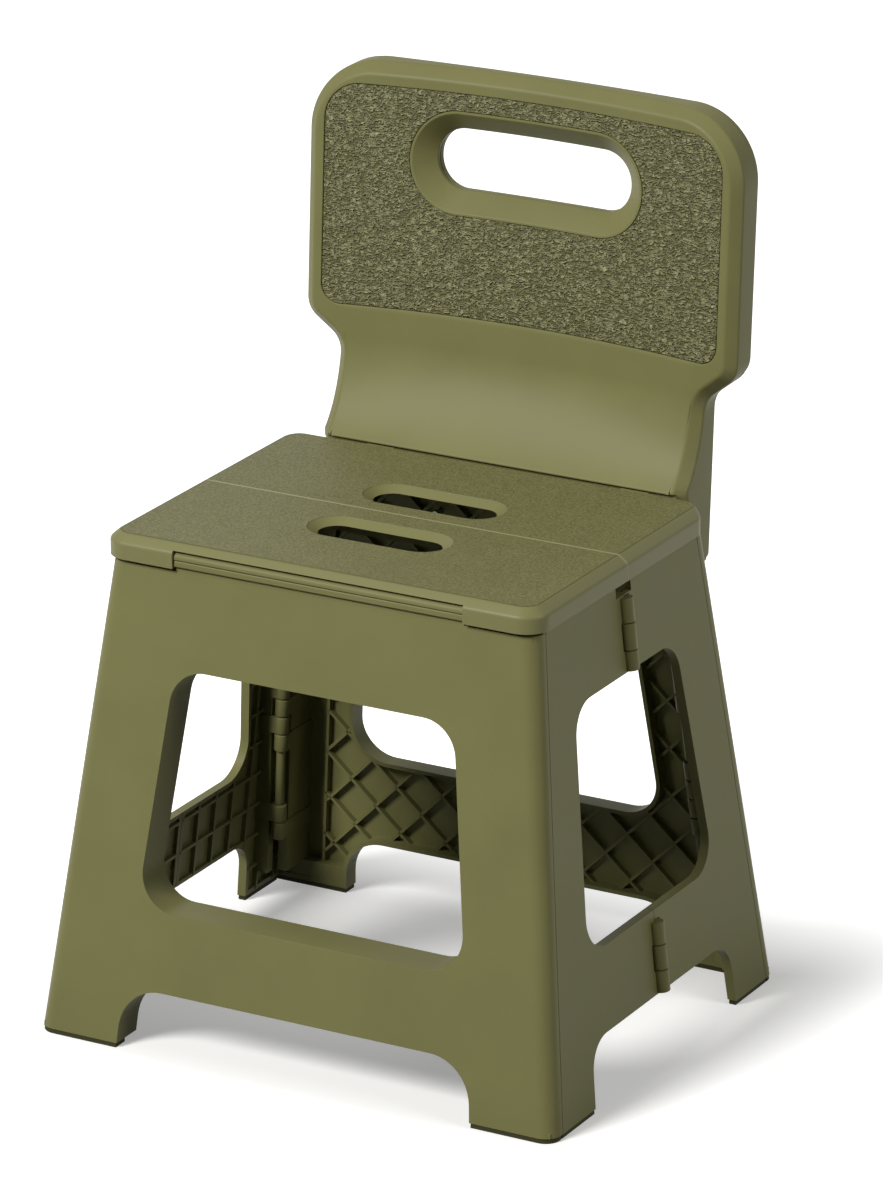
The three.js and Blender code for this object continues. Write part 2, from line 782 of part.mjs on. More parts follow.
// The back seat half is cut back over the panel's barrels and keeps two tabs on the hinge line
function backTabs(start) {
  const clearY = backPivotY - endKnuckleRadius - runningGap;
  const wide = seatHalfWidth + cutOverrun;
  const reach = seatBack + cutOverrun;
  let body = start.subtract(block(-wide, wide, clearY, reach, 0, seatUnder));
  for (const place of tabPlaces) {
    const from = place - tabWidth / 2;
    const to = place + tabWidth / 2;
    const a = new THREE.Vector3(from, backPivotY, endPivotHeight);
    const b = new THREE.Vector3(to, backPivotY, endPivotHeight);
    const under = endPivotHeight - endKnuckleRadius / 2;
    const bridge = block(from, to, clearY - ribRoot, backPivotY, under, seatUnder + ribRoot);
    const crown = block(from, to, clearY, backPivotY + endKnuckleRadius / 2, endPivotHeight, tabTop);
    body = body.add(bar(a, b, endKnuckleRadius, knuckleSides)).add(bridge).add(crown);
    const bore = holeRadius(endPinRadius, endPinClearance);
    a.x -= cutOverrun;
    b.x += cutOverrun;
    body = body.subtract(bar(a, b, bore, pinSides));
  }
  return body;
}

// Places along X of the centre hinge's knuckles, outermost first
function centreSpans(hand) {
  return Array.from({ length: centreKnuckleCount }, (unused, i) => {
    const inner = centreKnuckleInner + i * centreKnuckleLength;
    const a = hand * (inner + knuckleGap / 2);
    const b = hand * (inner + centreKnuckleLength - knuckleGap / 2);
    return [Math.min(a, b), Math.max(a, b)];
  });
}

// Knuckles of the seat's centre hinge: the back half holds the pin, the front half runs on it with play
function centreKnuckles(start, end) {
  let body = start;
  const at = (x) => new THREE.Vector3(x, 0, centrePivotHeight);
  const radius = end === -1 ? centreFrontRadius : centreBackRadius;
  const other = (end === -1 ? centreBackRadius : centreFrontRadius) + centreFreePlay + seatGap;
  const clearance = end === -1 ? centreFreePlay : centrePinClearance;
  for (const hand of [-1, 1]) {
    const spans = centreSpans(hand);
    spans.forEach(([from, to], i) => {
      const mine = (i % 2 === 0) === (end === -1);
      const room = knuckleGap / 2;
      if (!mine) body = body.subtract(bar(at(from - room), at(to + room), other, knuckleSides));
    });
    spans.forEach(([from, to], i) => {
      const mine = (i % 2 === 0) === (end === -1);
      if (!mine) return;
      const near = Math.min((end * runningGap) / 2, end * centreWeb);
      const far = Math.max((end * runningGap) / 2, end * centreWeb);
      const web = block(from, to, near, far, centrePivotHeight, seatRibBottom + ribRoot);
      const hook = alongX(
        [
          new THREE.Vector2((end * runningGap) / 2, centrePivotHeight - radius * Math.SQRT1_2),
          new THREE.Vector2((end * runningGap) / 2, centrePivotHeight),
          new THREE.Vector2(end * centreWeb, centrePivotHeight),
        ],
        from,
        to,
      );
      body = join([body, bar(at(from), at(to), radius, knuckleSides), web, hook]);
    });
    const low = hand * (centreKnuckleInner - cutOverrun);
    const high = hand * (centreKnuckleInner + centreKnuckleLength * centreKnuckleCount + cutOverrun);
    body = body.subtract(bar(at(low), at(high), holeRadius(centrePinRadius, clearance), pinSides));
  }
  return body;
}

// Backrest outline in X and Z, wide at the head and necked down to the seat
function backOutline(inset, steps = arcSteps) {
  const w = backHalfWidth - inset;
  const n = neckHalf - inset;
  const t = backTop - inset;
  const b = mountBottom + inset;
  return rounded([
    [-n, b, 0],
    [n, b, 0],
    [n, neckTop, neckRadius],
    [w, wideBottom + inset, shoulderRadius],
    [w, t, backTopRadius - inset],
    [-w, t, backTopRadius - inset],
    [-w, wideBottom + inset, shoulderRadius],
    [-n, neckTop, neckRadius],
  ], steps);
}

// An outline carried rearwards from a leaning plane, with both its rims chamfered
function leaning(points, planeAt, lean, depth, chamfer) {
  const geometry = new THREE.ExtrudeGeometry(new THREE.Shape(points), {
    depth: depth - chamfer * 2,
    bevelEnabled: chamfer > 0,
    bevelThickness: chamfer,
    bevelSize: chamfer,
    bevelSegments: 1,
  });
  geometry.rotateX(Math.PI / 2);
  geometry.translate(0, depth - chamfer, 0);
  geometry.applyMatrix4(new THREE.Matrix4().makeShear(0, 0, 0, 0, 0, lean));
  geometry.translate(0, planeAt(0), 0);
  return solid(geometry);
}

// How far the bow and the crown have come at a place: a parabola across, drawn straight between its stations,
// that grows from nothing at the lip to full above the cove
function bowShare(x, z) {
  const across = (place) => 1 - (place / padHalf) ** 2;
  const station = Math.floor(x / bowStation) * bowStation;
  const along = THREE.MathUtils.lerp(across(station), across(station + bowStation), (x - station) / bowStation);
  return along * THREE.MathUtils.smoothstep(z, lipHeight, coveTop);
}

// Splits each face that crosses a plane, with one new point on every edge that crosses it
function splitAt(points, faces, axis, place) {
  const made = new Map();
  const away = (i) => points[i][axis] - place;
  const side = (i) => (Math.abs(away(i)) < splitTolerance ? 0 : Math.sign(away(i)));
  const between = (i, k) => {
    const key = i < k ? `${i} ${k}` : `${k} ${i}`;
    if (!made.has(key)) {
      const share = away(i) / (away(i) - away(k));
      made.set(key, points.push(points[i].clone().lerp(points[k], share)) - 1);
    }
    return made.get(key);
  };
  return faces.flatMap((face) => {
    const sides = face.map(side);
    if (!sides.includes(1) || !sides.includes(-1)) return [face];
    const touching = sides.indexOf(0);
    const alone = sides.findIndex((one) => sides.filter((other) => other === one).length === 1);
    const first = touching >= 0 ? touching : alone;
    const [a, b, c] = [face[first], face[(first + 1) % 3], face[(first + 2) % 3]];
    if (touching >= 0) return [[a, b, between(b, c)], [a, between(b, c), c]];
    const [ab, ca] = [between(a, b), between(c, a)];
    return [[a, ab, ca], [ab, b, c], [ab, c, ca]];
  });
}

// A form of the backrest with its middle bowed rearwards by the given depth and crowned upwards
function bowed(body, bow) {
  const mesh = body.getMesh();
  const points = [];
  for (let i = 0; i < mesh.vertProperties.length; i += mesh.numProp) {
    points.push(new THREE.Vector3(...mesh.vertProperties.slice(i, i + 3)));
  }
  let faces = [];
  for (let i = 0; i < mesh.triVerts.length; i += 3) faces.push([...mesh.triVerts.slice(i, i + 3)]);
  const reach = Math.ceil(backHalfWidth / bowStation);
  for (let k = -reach; k <= reach; k += 1) faces = splitAt(points, faces, 'x', k * bowStation);
  for (const height of [lipHeight, coveTop]) faces = splitAt(points, faces, 'z', height);
  for (const point of points) {
    const share = bowShare(point.x, point.z);
    point.y += bow * share;
    point.z += backCrown * share;
  }
  const geometry = new THREE.BufferGeometry().setFromPoints(points);
  geometry.setIndex(faces.flat());
  return solid(geometry);
}

// The part of a leaning form between two depths behind the front face
function headSlice(points, from, to) {
  return leaning(points, (z) => backFaceAt(z) + from, backLean, to - from, 0);
}

// Cove that sweeps forward from the head to the lip over the seat, with the mounting face below it
function coveForm() {
  const endY = backFaceAt(coveTop);
  const start = new THREE.Vector2(lipY, lipHeight);
  const finish = new THREE.Vector2(endY, coveTop);
  const bend = new THREE.Vector2(endY - (coveTop - lipHeight) * backLean, (lipHeight * 2 + coveTop) / 3);
  const curve = new THREE.QuadraticBezierCurve(start, bend, finish).getPoints(arcSteps + 1);
  const behind = backBevel + backWall;
  const profile = [
    new THREE.Vector2(halfDepthAt(mountBottom) + seatGap, mountBottom),
    new THREE.Vector2(topHalfDepth + seatGap, panelTop),
    new THREE.Vector2(topHalfDepth + seatGap, endPivotHeight),
    ...curve,
    new THREE.Vector2(endY + behind, coveTop),
    new THREE.Vector2(backFaceAt(mountBottom) + behind, mountBottom),
  ];
  const slim = neckHalf - backBevel;
  const outline = [
    new THREE.Vector2(-neckHalf, mountBottom),
    new THREE.Vector2(neckHalf, mountBottom),
    new THREE.Vector2(neckHalf, (lipHeight + coveTop) / 2),
    new THREE.Vector2(slim, coveTop),
    new THREE.Vector2(-slim, coveTop),
    new THREE.Vector2(-neckHalf, (lipHeight + coveTop) / 2),
  ];
  return alongX(profile, -backHalfWidth, backHalfWidth).intersect(alongY(outline, 0, backRear));
}

// A passage through outlines of equal count, each at its own depth behind the front face
function funnel(rings) {
  const count = rings[0][0].length;
  const points = rings.flatMap(([outline, depth]) => (
    outline.map((p) => new THREE.Vector3(p.x, backFaceAt(p.y) + depth, p.y))
  ));
  const faces = [];
  for (let start = 0; start < points.length - count; start += count) {
    for (let i = 0; i < count; i += 1) {
      const a = start + i;
      const b = start + ((i + 1) % count);
      faces.push([a, a + count, b + count], [a, b + count, b]);
    }
  }
  const last = points.length - count;
  for (const cap of THREE.ShapeUtils.triangulateShape(rings[0][0], [])) faces.push(cap);
  for (const [a, b, c] of THREE.ShapeUtils.triangulateShape(rings[rings.length - 1][0], [])) {
    faces.push([c + last, b + last, a + last]);
  }
  const geometry = new THREE.BufferGeometry().setFromPoints(points);
  geometry.setIndex(faces.flat());
  return solid(geometry);
}

function handleOutline(length, width, steps = arcSteps) {
  const x = length / 2;
  const h = width / 2;
  const r = h - runningGap / 2;
  return rounded([
    [-x, handleHeight - h, r],
    [x, handleHeight - h, r],
    [x, handleHeight + h, r],
    [-x, handleHeight + h, r],
  ], steps);
}

// The raised rim round the dish, grown by a gap
function dishRim(gap) {
  const grow = (handleDishRim + gap) * 2;
  return handleOutline(handleDishLength + grow, handleDishOpening + grow);
}

function padOutline(inset) {
  const w = padHalf - inset;
  return rounded([
    [-w, padBottom + inset, padBottomRadius],
    [w, padBottom + inset, padBottomRadius],
    [w, padTop - inset, padTopRadius],
    [-w, padTop - inset, padTopRadius],
  ]);
}

const shellScrews = [
  [-shellScrewOut, shellScrewHigh],
  [shellScrewOut, shellScrewHigh],
  [-shellScrewOut, shellScrewMid],
  [shellScrewOut, shellScrewMid],
  [-shellScrewIn, shellScrewLow],
  [shellScrewIn, shellScrewLow],
];
const mountScrews = [-mountScrewOut, -mountScrewIn, mountScrewIn, mountScrewOut];
const mountFloor = halfDepthAt(mountBottom) + seatGap + backWall;

// Front shell: chamfered face, hollow back, cove and lip, mounting box behind the panel and hand hole
function backrestFrontShell() {
  const wide = backHalfWidth + cutOverrun;
  const deep = backThickness * 2;
  const head = leaning(backOutline(backBevel), backFaceAt, backLean, deep, backBevel);
  const hollow = leaning(
    backOutline(backWall * 2, hiddenArcSteps),
    (z) => backFaceAt(z) + backWall,
    backLean,
    deep,
    0,
  );
  const box = neckHalf - backWall * 2;
  const mountHollow = block(-box, box, mountFloor, backRear, mountBottom + backWall, panelTop - backWall);
  const behind = alongX(
    [
      new THREE.Vector2(partingAt(0), 0),
      new THREE.Vector2(backRear * 2, 0),
      new THREE.Vector2(backRear * 2, backTop * 2),
      new THREE.Vector2(partingAt(backTop * 2), backTop * 2),
    ],
    -wide,
    wide,
  );
  let body = bowed(head.add(coveForm()), backBow).subtract(bowed(hollow, backBow)).subtract(mountHollow);
  for (const [x, z] of shellScrews) {
    const face = backFaceAt(z) + backBow * bowShare(x, z);
    const root = new THREE.Vector3(x, face + backWall - ribRoot, z);
    body = body.add(bar(root, new THREE.Vector3(x, backRear, z), bossRadius, knuckleSides));
  }
  const grow = flangeWall * 2;
  const hole = handleOutline(handleLength, handleOpening);
  const dish = handleOutline(handleDishLength, handleDishOpening);
  const gripAround = handleOutline(handleLength + grow, handleOpening + grow);
  const dishAround = handleOutline(handleDishLength + grow, handleDishOpening + grow);
  const root = backWall - ribRoot;
  const grip = funnel([[dishAround, root], [gripAround, handleDishDepth + root], [gripAround, deep]]);
  const open = funnel([[dish, -backBevel], [dish, 0], [hole, handleDishDepth], [hole, deep]]);
  const island = headSlice(dishRim(0), -backBevel * 2, handleDishDepth);
  const pocket = headSlice(padOutline(0), -backBevel, padPocket).subtract(island);
  body = body.add(bowed(grip, backBow)).subtract(behind);
  body = body.subtract(bowed(open, backBow)).subtract(bowed(pocket, backBow));
  body = body.subtract(
    bar(
      new THREE.Vector3(-wide, backPivotY, endPivotHeight),
      new THREE.Vector3(wide, backPivotY, endPivotHeight),
      holeRadius(lugSlack, 0, knuckleSides),
      knuckleSides,
    ),
  );
  for (const [x, z] of shellScrews) {
    const mouth = new THREE.Vector3(x, backRear, z);
    const floor = new THREE.Vector3(x, partingAt(z) - shellScrewLength, z);
    body = body.subtract(bar(mouth, floor, holeRadius(screwRadius, screwClearance), pinSides));
  }
  for (const x of mountScrews) body = body.subtract(mountBore(x));
  return body;
}

function mountBore(x) {
  return bar(
    new THREE.Vector3(x, halfDepthAt(mountScrewHeight) - mountScrewLength - wall, mountScrewHeight),
    new THREE.Vector3(x, mountFloor + cutOverrun, mountScrewHeight),
    holeRadius(screwRadius, screwClearance),
    pinSides,
  );
}

// Rear shell: a shallow tray that closes the back and is screwed on from behind
function backrestRearShell() {
  const wide = backHalfWidth + cutOverrun;
  const start = (z) => partingAt(z) + seatGap;
  const ahead = alongX(
    [
      new THREE.Vector2(0, 0),
      new THREE.Vector2(start(0), 0),
      new THREE.Vector2(start(backTop * 2), backTop * 2),
      new THREE.Vector2(0, backTop * 2),
    ],
    -wide,
    wide,
  );
  const early = (z) => partingAt(z) - rearShellBevel;
  const outline = backOutline(rearShellInset + rearShellBevel);
  let body = bowed(leaning(outline, early, rearLean, rearShellDepth + rearShellBevel, rearShellBevel), 0);
  const hollow = leaning(
    backOutline(backWall * 2, hiddenArcSteps),
    early,
    rearLean,
    rearShellDepth + rearShellBevel - backWall,
    0,
  );
  body = body.subtract(bowed(hollow, 0));
  const grow = flangeWall * 2;
  const collar = leaning(
    handleOutline(handleLength + grow, handleOpening + grow),
    start,
    rearLean,
    rearShellDepth - seatGap - ribRoot,
    0,
  );
  body = body.add(bowed(collar, 0));
  for (const [x, z] of shellScrews) {
    const root = new THREE.Vector3(x, rearFaceAt(z) - ribRoot, z);
    body = body.add(bar(new THREE.Vector3(x, start(z), z), root, bossRadius + screwRadius, knuckleSides));
  }
  for (const [x, z] of shellScrews) {
    const rear = new THREE.Vector3(x, backRear + backBevel, z);
    const shank = holeRadius(screwRadius, screwClearance);
    const head = holeRadius(screwHeadRadius, screwClearance);
    body = body.subtract(bar(new THREE.Vector3(x, early(z), z), rear, shank, pinSides));
    body = body.subtract(bar(new THREE.Vector3(x, partingAt(z) + backWall, z), rear, head, pinSides));
  }
  const hole = handleOutline(handleLength, handleOpening);
  return body.subtract(bowed(leaning(hole, early, rearLean, backThickness, 0), 0)).subtract(ahead);
}

function backrestPad() {
  const plate = headSlice(padOutline(seatGap), padPocket - padThickness, padPocket - seatGap / 2);
  return bowed(plate.subtract(headSlice(dishRim(seatGap), -backBevel, padPocket)), backBow);
}

// Rubber sole under a panel's foot
function sole(hand, end, onSide) {
  const body = tapered(seatGap * 2, 0, soleThickness, cornerRadius - seatGap);
  const inner = onSide ? halfWidthAt(0) - sideFlangeDepth + seatGap : archFootHalf + seatGap * 2;
  const outer = baseHalfWidth;
  const x0 = Math.min(hand * inner, hand * outer);
  const x1 = Math.max(hand * inner, hand * outer);
  let y = [halfDepthAt(0) - soleDepth + seatGap, baseHalfDepth];
  if (onSide) y = [sideArchFootHalf + seatGap * 2, halfDepthAt(0) - cornerReturn - runningGap * 2];
  const y0 = Math.min(end * y[0], end * y[1]);
  const y1 = Math.max(end * y[0], end * y[1]);
  return body.intersect(block(x0, x1, y0, y1, -cutOverrun, soleHeight));
}

// A lathe or cylinder with its seams closed, as a named steel mesh
function steelMesh(name, geometry) {
  geometry.deleteAttribute('normal');
  geometry.deleteAttribute('uv');
  const closed = mergeVertices(geometry);
  closed.computeVertexNormals();
  const mesh = new THREE.Mesh(closed, steel);
  mesh.name = name;
  return mesh;
}

// Hinge pin between two points
function pin(name, from, to, radius) {
  const mesh = steelMesh(name, new THREE.CylinderGeometry(radius, radius, from.distanceTo(to), pinSides));
  mesh.position.copy(from.clone().add(to).multiplyScalar(1 / 2));
  mesh.quaternion.setFromUnitVectors(new THREE.Vector3(0, 1, 0), to.clone().sub(from).normalize());
  return mesh;
}

// Screw whose head rests on the plane through its own place, with the shank along -Y
function screw(name, at, length) {
  const profile = [
    [0, -length],
    [screwRadius, -length],
    [screwRadius, 0],
    [screwHeadRadius, 0],
    [screwHeadRadius, screwHeadHeight],
    [0, screwHeadHeight],
  ];
  const points = profile.map(([x, y]) => new THREE.Vector2(x, y));
  const mesh = steelMesh(name, new THREE.LatheGeometry(points, pinSides));
  mesh.position.copy(at);
  return mesh;
}

const chair = new THREE.Group();
chair.position.y = -originY;
const add = (name, body, material) => chair.add(piece(name, body, material));
const sides = [[-1, 'left'], [1, 'right']];
const ends = [[-1, 'front'], [1, 'back']];

add('front_panel', endPanel(-1).add(frontRail()), plastic);
add('back_panel', mountBores(endPanel(1).add(backRail())), plastic);

// Bosses and bores in the back panel that take the backrest's mounting screws
function mountBores(start) {
  let body = start;
  for (const x of mountScrews) {
    const face = halfDepthAt(mountScrewHeight);
    const boss = bar(
      new THREE.Vector3(x, face - mountScrewLength - wall, mountScrewHeight),
      new THREE.Vector3(x, face - wall / 2, mountScrewHeight),
      bossRadius,
      knuckleSides,
    );
    body = body.add(boss).subtract(mountBore(x));
  }
  return body;
}

for (const [hand, handName] of sides) {
  for (const [end, endName] of ends) {
    add(`side_panel_${endName}_${handName}`, sideHalf(hand, end), plastic);
  }
}
add('seat_front_half', seatHalf(-1), plastic);
add('seat_back_half', seatHalf(1), plastic);
add('backrest_front_shell', backrestFrontShell(), plastic);
add('backrest_rear_shell', backrestRearShell(), insidePlastic);
add('backrest_pad', backrestPad(), padPlastic);

// Soles, corner pins, middle pins and seat pins of the hand = -1 left or 1 right half
function addPins(hand, handName) {
  const pinAlong = (name, line, from, to, radius) => {
    chair.add(pin(`${name}_${handName}`, line(from), line(to), radius));
  };
  for (const [end, endName] of ends) {
    const corner = (z) => cornerPivot(z, hand, end);
    const [low, high] = [cornerHingeLow + knuckleGap, cornerHingeHigh - knuckleGap];
    pinAlong(`corner_pin_${endName}`, corner, low, high, cornerPinRadius);
  }
  const middle = (z) => middlePivot(z, hand);
  for (const [place, edges] of [['upper', middleUpperEdges], ['lower', middleLowerEdges]]) {
    const top = edges[edges.length - 1] - knuckleGap;
    pinAlong(`middle_pin_${place}`, middle, edges[0] + knuckleGap, top, middlePinRadius);
  }
  const frontLine = (x) => new THREE.Vector3(x, -frontPivotY, endPivotHeight);
  const half = endPinLength / 2 - seatGap;
  pinAlong('seat_pin_front', frontLine, hand * lugInner - half, hand * lugInner + half, endPinRadius);
  const backLine = (x) => new THREE.Vector3(x, backPivotY, endPivotHeight);
  const place = hand === -1 ? tabLeft : tabRight;
  const reach = tabWidth / 2 + tabGap + outerKnuckle - seatGap;
  pinAlong('seat_pin_back', backLine, place - reach, place + reach, endPinRadius);
  const centreLine = (x) => new THREE.Vector3(x, 0, centrePivotHeight);
  const near = hand * (centreKnuckleInner + knuckleGap);
  const far = hand * (centreKnuckleInner + centreKnuckleLength * centreKnuckleCount - knuckleGap);
  pinAlong('seat_pin_centre', centreLine, near, far, centrePinRadius);
}

for (const [hand, handName] of sides) {
  for (const [end, endName] of ends) {
    add(`panel_foot_${endName}_${handName}`, sole(hand, end, false), rubber);
    add(`side_foot_${endName}_${handName}`, sole(hand, end, true), rubber);
  }
  addPins(hand, handName);
}

shellScrews.forEach(([x, z], i) => {
  const seat = partingAt(z) + backWall + seatGap;
  chair.add(screw(`shell_screw_${i + 1}`, new THREE.Vector3(x, seat, z), shellScrewLength));
});
mountScrews.forEach((x, i) => {
  const seat = mountFloor + seatGap;
  const length = seat - halfDepthAt(mountScrewHeight) + mountScrewLength;
  chair.add(screw(`mount_screw_${i + 1}`, new THREE.Vector3(x, seat, mountScrewHeight), length));
});

export default chair;
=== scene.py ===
"""Looks of a folding step stool chair in moulded olive polypropylene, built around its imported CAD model."""
import math
import bpy
import bmesh
import numpy as np
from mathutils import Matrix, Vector


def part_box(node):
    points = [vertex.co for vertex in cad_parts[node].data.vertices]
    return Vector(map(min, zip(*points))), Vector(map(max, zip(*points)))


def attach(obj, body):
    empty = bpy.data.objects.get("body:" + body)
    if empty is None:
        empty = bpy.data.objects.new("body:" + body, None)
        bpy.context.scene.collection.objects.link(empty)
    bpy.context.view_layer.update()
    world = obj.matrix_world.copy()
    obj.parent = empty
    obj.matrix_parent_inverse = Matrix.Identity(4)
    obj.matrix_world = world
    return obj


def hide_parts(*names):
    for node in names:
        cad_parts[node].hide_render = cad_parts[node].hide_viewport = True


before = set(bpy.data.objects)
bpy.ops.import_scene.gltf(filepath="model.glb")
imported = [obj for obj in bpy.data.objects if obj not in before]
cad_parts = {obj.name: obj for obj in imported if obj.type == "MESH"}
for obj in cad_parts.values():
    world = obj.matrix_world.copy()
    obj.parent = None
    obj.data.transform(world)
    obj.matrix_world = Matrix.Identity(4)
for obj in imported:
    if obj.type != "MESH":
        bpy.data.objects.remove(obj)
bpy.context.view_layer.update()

# The CAD model stands on the floor with +Z up and the backrest at +Y. Sizes below are in millimetres, with y
# counted from the seam between the two seat halves, which the frame gives.
MM = 0.001
seam_y = (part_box("seat_front_half")[1].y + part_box("seat_back_half")[0].y) / 2


def place(points):
    """Points (x, y, z) in millimetres from the seat seam, taken to metres in the frame."""
    return np.asarray(points, float) * MM + np.array([0, seam_y, 0])


# Camera
# A long lens from the front right and above, solved from the corners of the base, the seat and the backrest.
camera_spot, camera_target = (1823.3, -3263.5, 1602.7), (20.98, 0, 253.18)
camera_lens, camera_sensor = 209.1, 36


def added(name, data):
    """A new object in the scene."""
    made = bpy.data.objects.new(name, data)
    bpy.context.scene.collection.objects.link(made)
    return made


def aim(thing, spot, target):
    """Stands a camera or a lamp at a spot and turns its view to a target."""
    thing.location = place(spot)
    thing.rotation_euler = (Vector(place(target)) - thing.location).to_track_quat("-Z", "Y").to_euler()


camera = added("camera", bpy.data.cameras.new("camera"))
camera.data.sensor_fit = "AUTO"
camera.data.sensor_width = camera_sensor
camera.data.lens = camera_lens
aim(camera, camera_spot, camera_target)
bpy.context.scene.camera = camera

# Studio
# Matt white paper, a large soft lamp in front and above, a weaker one on the right and a dim room. The camera sees
# the paper lifted to white by a glow, which is weaker by the feet and so paints shade round them, over the stool's
# real soft shadow.
paper_half = 9000
paper_colour, bounce_colour, white = "#E9E8E5", "#42413E", "#FFFFFF"
footprint, footprint_shift = (160, 140), (12, 0)
# Less lift at the footprint paints shade round the feet.
near_lift, far_lift, lift_reach = 0.32, 1.0, 120  # white added at the footprint, white further off, and how far
room_strength = 0.05
lamp_target = (0, 0, 250)
lamps = [("key_lamp", (-1200, -2900, 2800), 1400, 166),  # name, place, size, watts
         ("side_lamp", (2900, -100, 1900), 1500, 31)]


def linear(code):
    """An sRGB hex colour as linear red, green, blue and alpha, by the sRGB curve."""
    channels = np.array([int(code[i:i + 2], 16) for i in (1, 3, 5)]) / 255
    curved = np.where(channels <= 0.04045, channels / 12.92, ((channels + 0.055) / 1.055) ** 2.4)
    return (*curved, 1.0)


def emptied(holder):
    """The node tree of a material or a world, switched on and cleared."""
    holder.use_nodes = True
    holder.node_tree.nodes.clear()
    return holder.node_tree


def node(tree, kind, inputs=None, **settings):
    """Adds one shader node with its settings, and sets or links its inputs."""
    made = tree.nodes.new(kind)
    for name, value in settings.items():
        setattr(made, name, value)
    for name, value in (inputs or {}).items():
        if isinstance(value, bpy.types.NodeSocket):
            tree.links.new(value, made.inputs[name])
        else:
            made.inputs[name].default_value = value
    return made


def seen_directly(tree):
    """One where a ray comes from the camera, a reflection or a clear body, else nought."""
    path = node(tree, "ShaderNodeLightPath").outputs
    seen = path["Is Camera Ray"]
    for other in ("Is Glossy Ray", "Is Transmission Ray"):
        seen = node(tree, "ShaderNodeMath", {0: seen, 1: path[other]}, operation="MAXIMUM").outputs[0]
    return seen


def past_box(tree, middle, reach):
    """How far a point lies outside a box about a middle: the length of max(|point - middle| - reach, 0)."""
    away = node(tree, "ShaderNodeTexCoord").outputs["Object"]
    nought = (0, 0, 0)
    for how, value in (("SUBTRACT", middle), ("ABSOLUTE", nought), ("SUBTRACT", reach), ("MAXIMUM", nought)):
        away = node(tree, "ShaderNodeVectorMath", {0: away, 1: value}, operation=how).outputs[0]
    return node(tree, "ShaderNodeVectorMath", {0: away}, operation="LENGTH").outputs["Value"]


paper_mesh = bpy.data.meshes.new("floor")
corners = [(x * paper_half, y * paper_half, 0) for x, y in ((-1, -1), (1, -1), (1, 1), (-1, 1))]
paper_mesh.from_pydata(place(corners).tolist(), [], [(0, 1, 2, 3)])
floor = added("floor", paper_mesh)
paper = bpy.data.materials.new("matt_white_paper")
tree = emptied(paper)
# The glow grows with the distance past the footprint: painted shade near the stool.
away = past_box(tree, place((*footprint_shift, 0)).tolist(), (footprint[0] * MM, footprint[1] * MM, 0))
lift = node(tree, "ShaderNodeMapRange", {"Value": away, "From Max": lift_reach * MM, "To Min": near_lift,
                                         "To Max": far_lift}).outputs[0]
matt = node(tree, "ShaderNodeBsdfDiffuse", {"Color": linear(paper_colour)})
grey = node(tree, "ShaderNodeBsdfDiffuse", {"Color": linear(bounce_colour)})
glow = node(tree, "ShaderNodeEmission", {"Color": linear(white), "Strength": lift})
lifted = node(tree, "ShaderNodeAddShader", {0: matt.outputs[0], 1: glow.outputs[0]})
mixed = node(tree, "ShaderNodeMixShader", {0: seen_directly(tree), 1: grey.outputs[0], 2: lifted.outputs[0]})
node(tree, "ShaderNodeOutputMaterial", {"Surface": mixed.outputs[0]})
paper_mesh.materials.append(paper)

world = bpy.data.worlds.new("room")
tree = emptied(world)
strength = node(tree, "ShaderNodeMix", {"Factor": seen_directly(tree), "A": room_strength, "B": 1.0})
room = node(tree, "ShaderNodeBackground", {"Color": linear(white), "Strength": strength.outputs["Result"]})
node(tree, "ShaderNodeOutputWorld", {"Surface": room.outputs[0]})
bpy.context.scene.world = world
for name, spot, size, power in lamps:
    lamp = added(name, bpy.data.lights.new(name, "AREA"))
    lamp.data.shape = "DISK"
    lamp.data.size = size * MM
    lamp.data.energy = power
    aim(lamp, spot, lamp_target)
bpy.context.scene.view_settings.view_transform = "Standard"

# Moulded polypropylene and rubber
# Olive polypropylene from a spark-eroded mould: an even body colour, a satin sheen and a fine grain, which is
# drawn coarser than the real one of about 0.2 mm so that it shows. The soles are a dark rubber with a duller skin.
olive_colour, olive_roughness, olive_grain, olive_depth = "#777549", 0.47, 0.9, 0.04
rubber_colour, rubber_roughness, rubber_grain, rubber_depth = "#3A3822", 0.7, 0.7, 0.05
grain_strength = 0.6
patch_size, patch_tone, patch_gloss = 45, 0.12, 0.06
plastic_ior, body_sheen = 1.49, 0.18


def moulded(name, colour, roughness, grain_size, grain_depth):
    """Satin skin: fine grain as bump, and faint wide patches where the melt cooled unevenly."""
    material = bpy.data.materials.new(name)
    tree = emptied(material)
    at = node(tree, "ShaderNodeTexCoord").outputs["Object"]
    grain, patches = (node(tree, "ShaderNodeTexNoise", {"Vector": at, "Scale": 1 / (size * MM), "Detail": detail})
                      .outputs["Fac"] for size, detail in ((grain_size, 2.0), (patch_size, 3.0)))
    bump = node(tree, "ShaderNodeBump", {"Height": grain, "Distance": grain_depth * MM, "Strength": grain_strength})
    pale = [min(c * (1 + patch_tone), 1) for c in linear(colour)[:3]] + [1]
    deep = [c * (1 - patch_tone) for c in linear(colour)[:3]] + [1]
    tone = node(tree, "ShaderNodeMix", {"Factor": patches, "A": deep, "B": pale}, data_type="RGBA").outputs[2]
    gloss = node(tree, "ShaderNodeMapRange", {"Value": patches, "To Min": roughness - patch_gloss,
                                              "To Max": roughness + patch_gloss}).outputs[0]
    shader = node(tree, "ShaderNodeBsdfPrincipled", {
        "Base Color": tone, "Roughness": gloss, "IOR": plastic_ior, "Specular IOR Level": body_sheen,
        "Normal": bump.outputs["Normal"]})
    node(tree, "ShaderNodeOutputMaterial", {"Surface": shader.outputs[0]})
    return material


olive = moulded("moulded_polypropylene", olive_colour, olive_roughness, olive_grain, olive_depth)
rubber = moulded("moulded_rubber", rubber_colour, rubber_roughness, rubber_grain, rubber_depth)

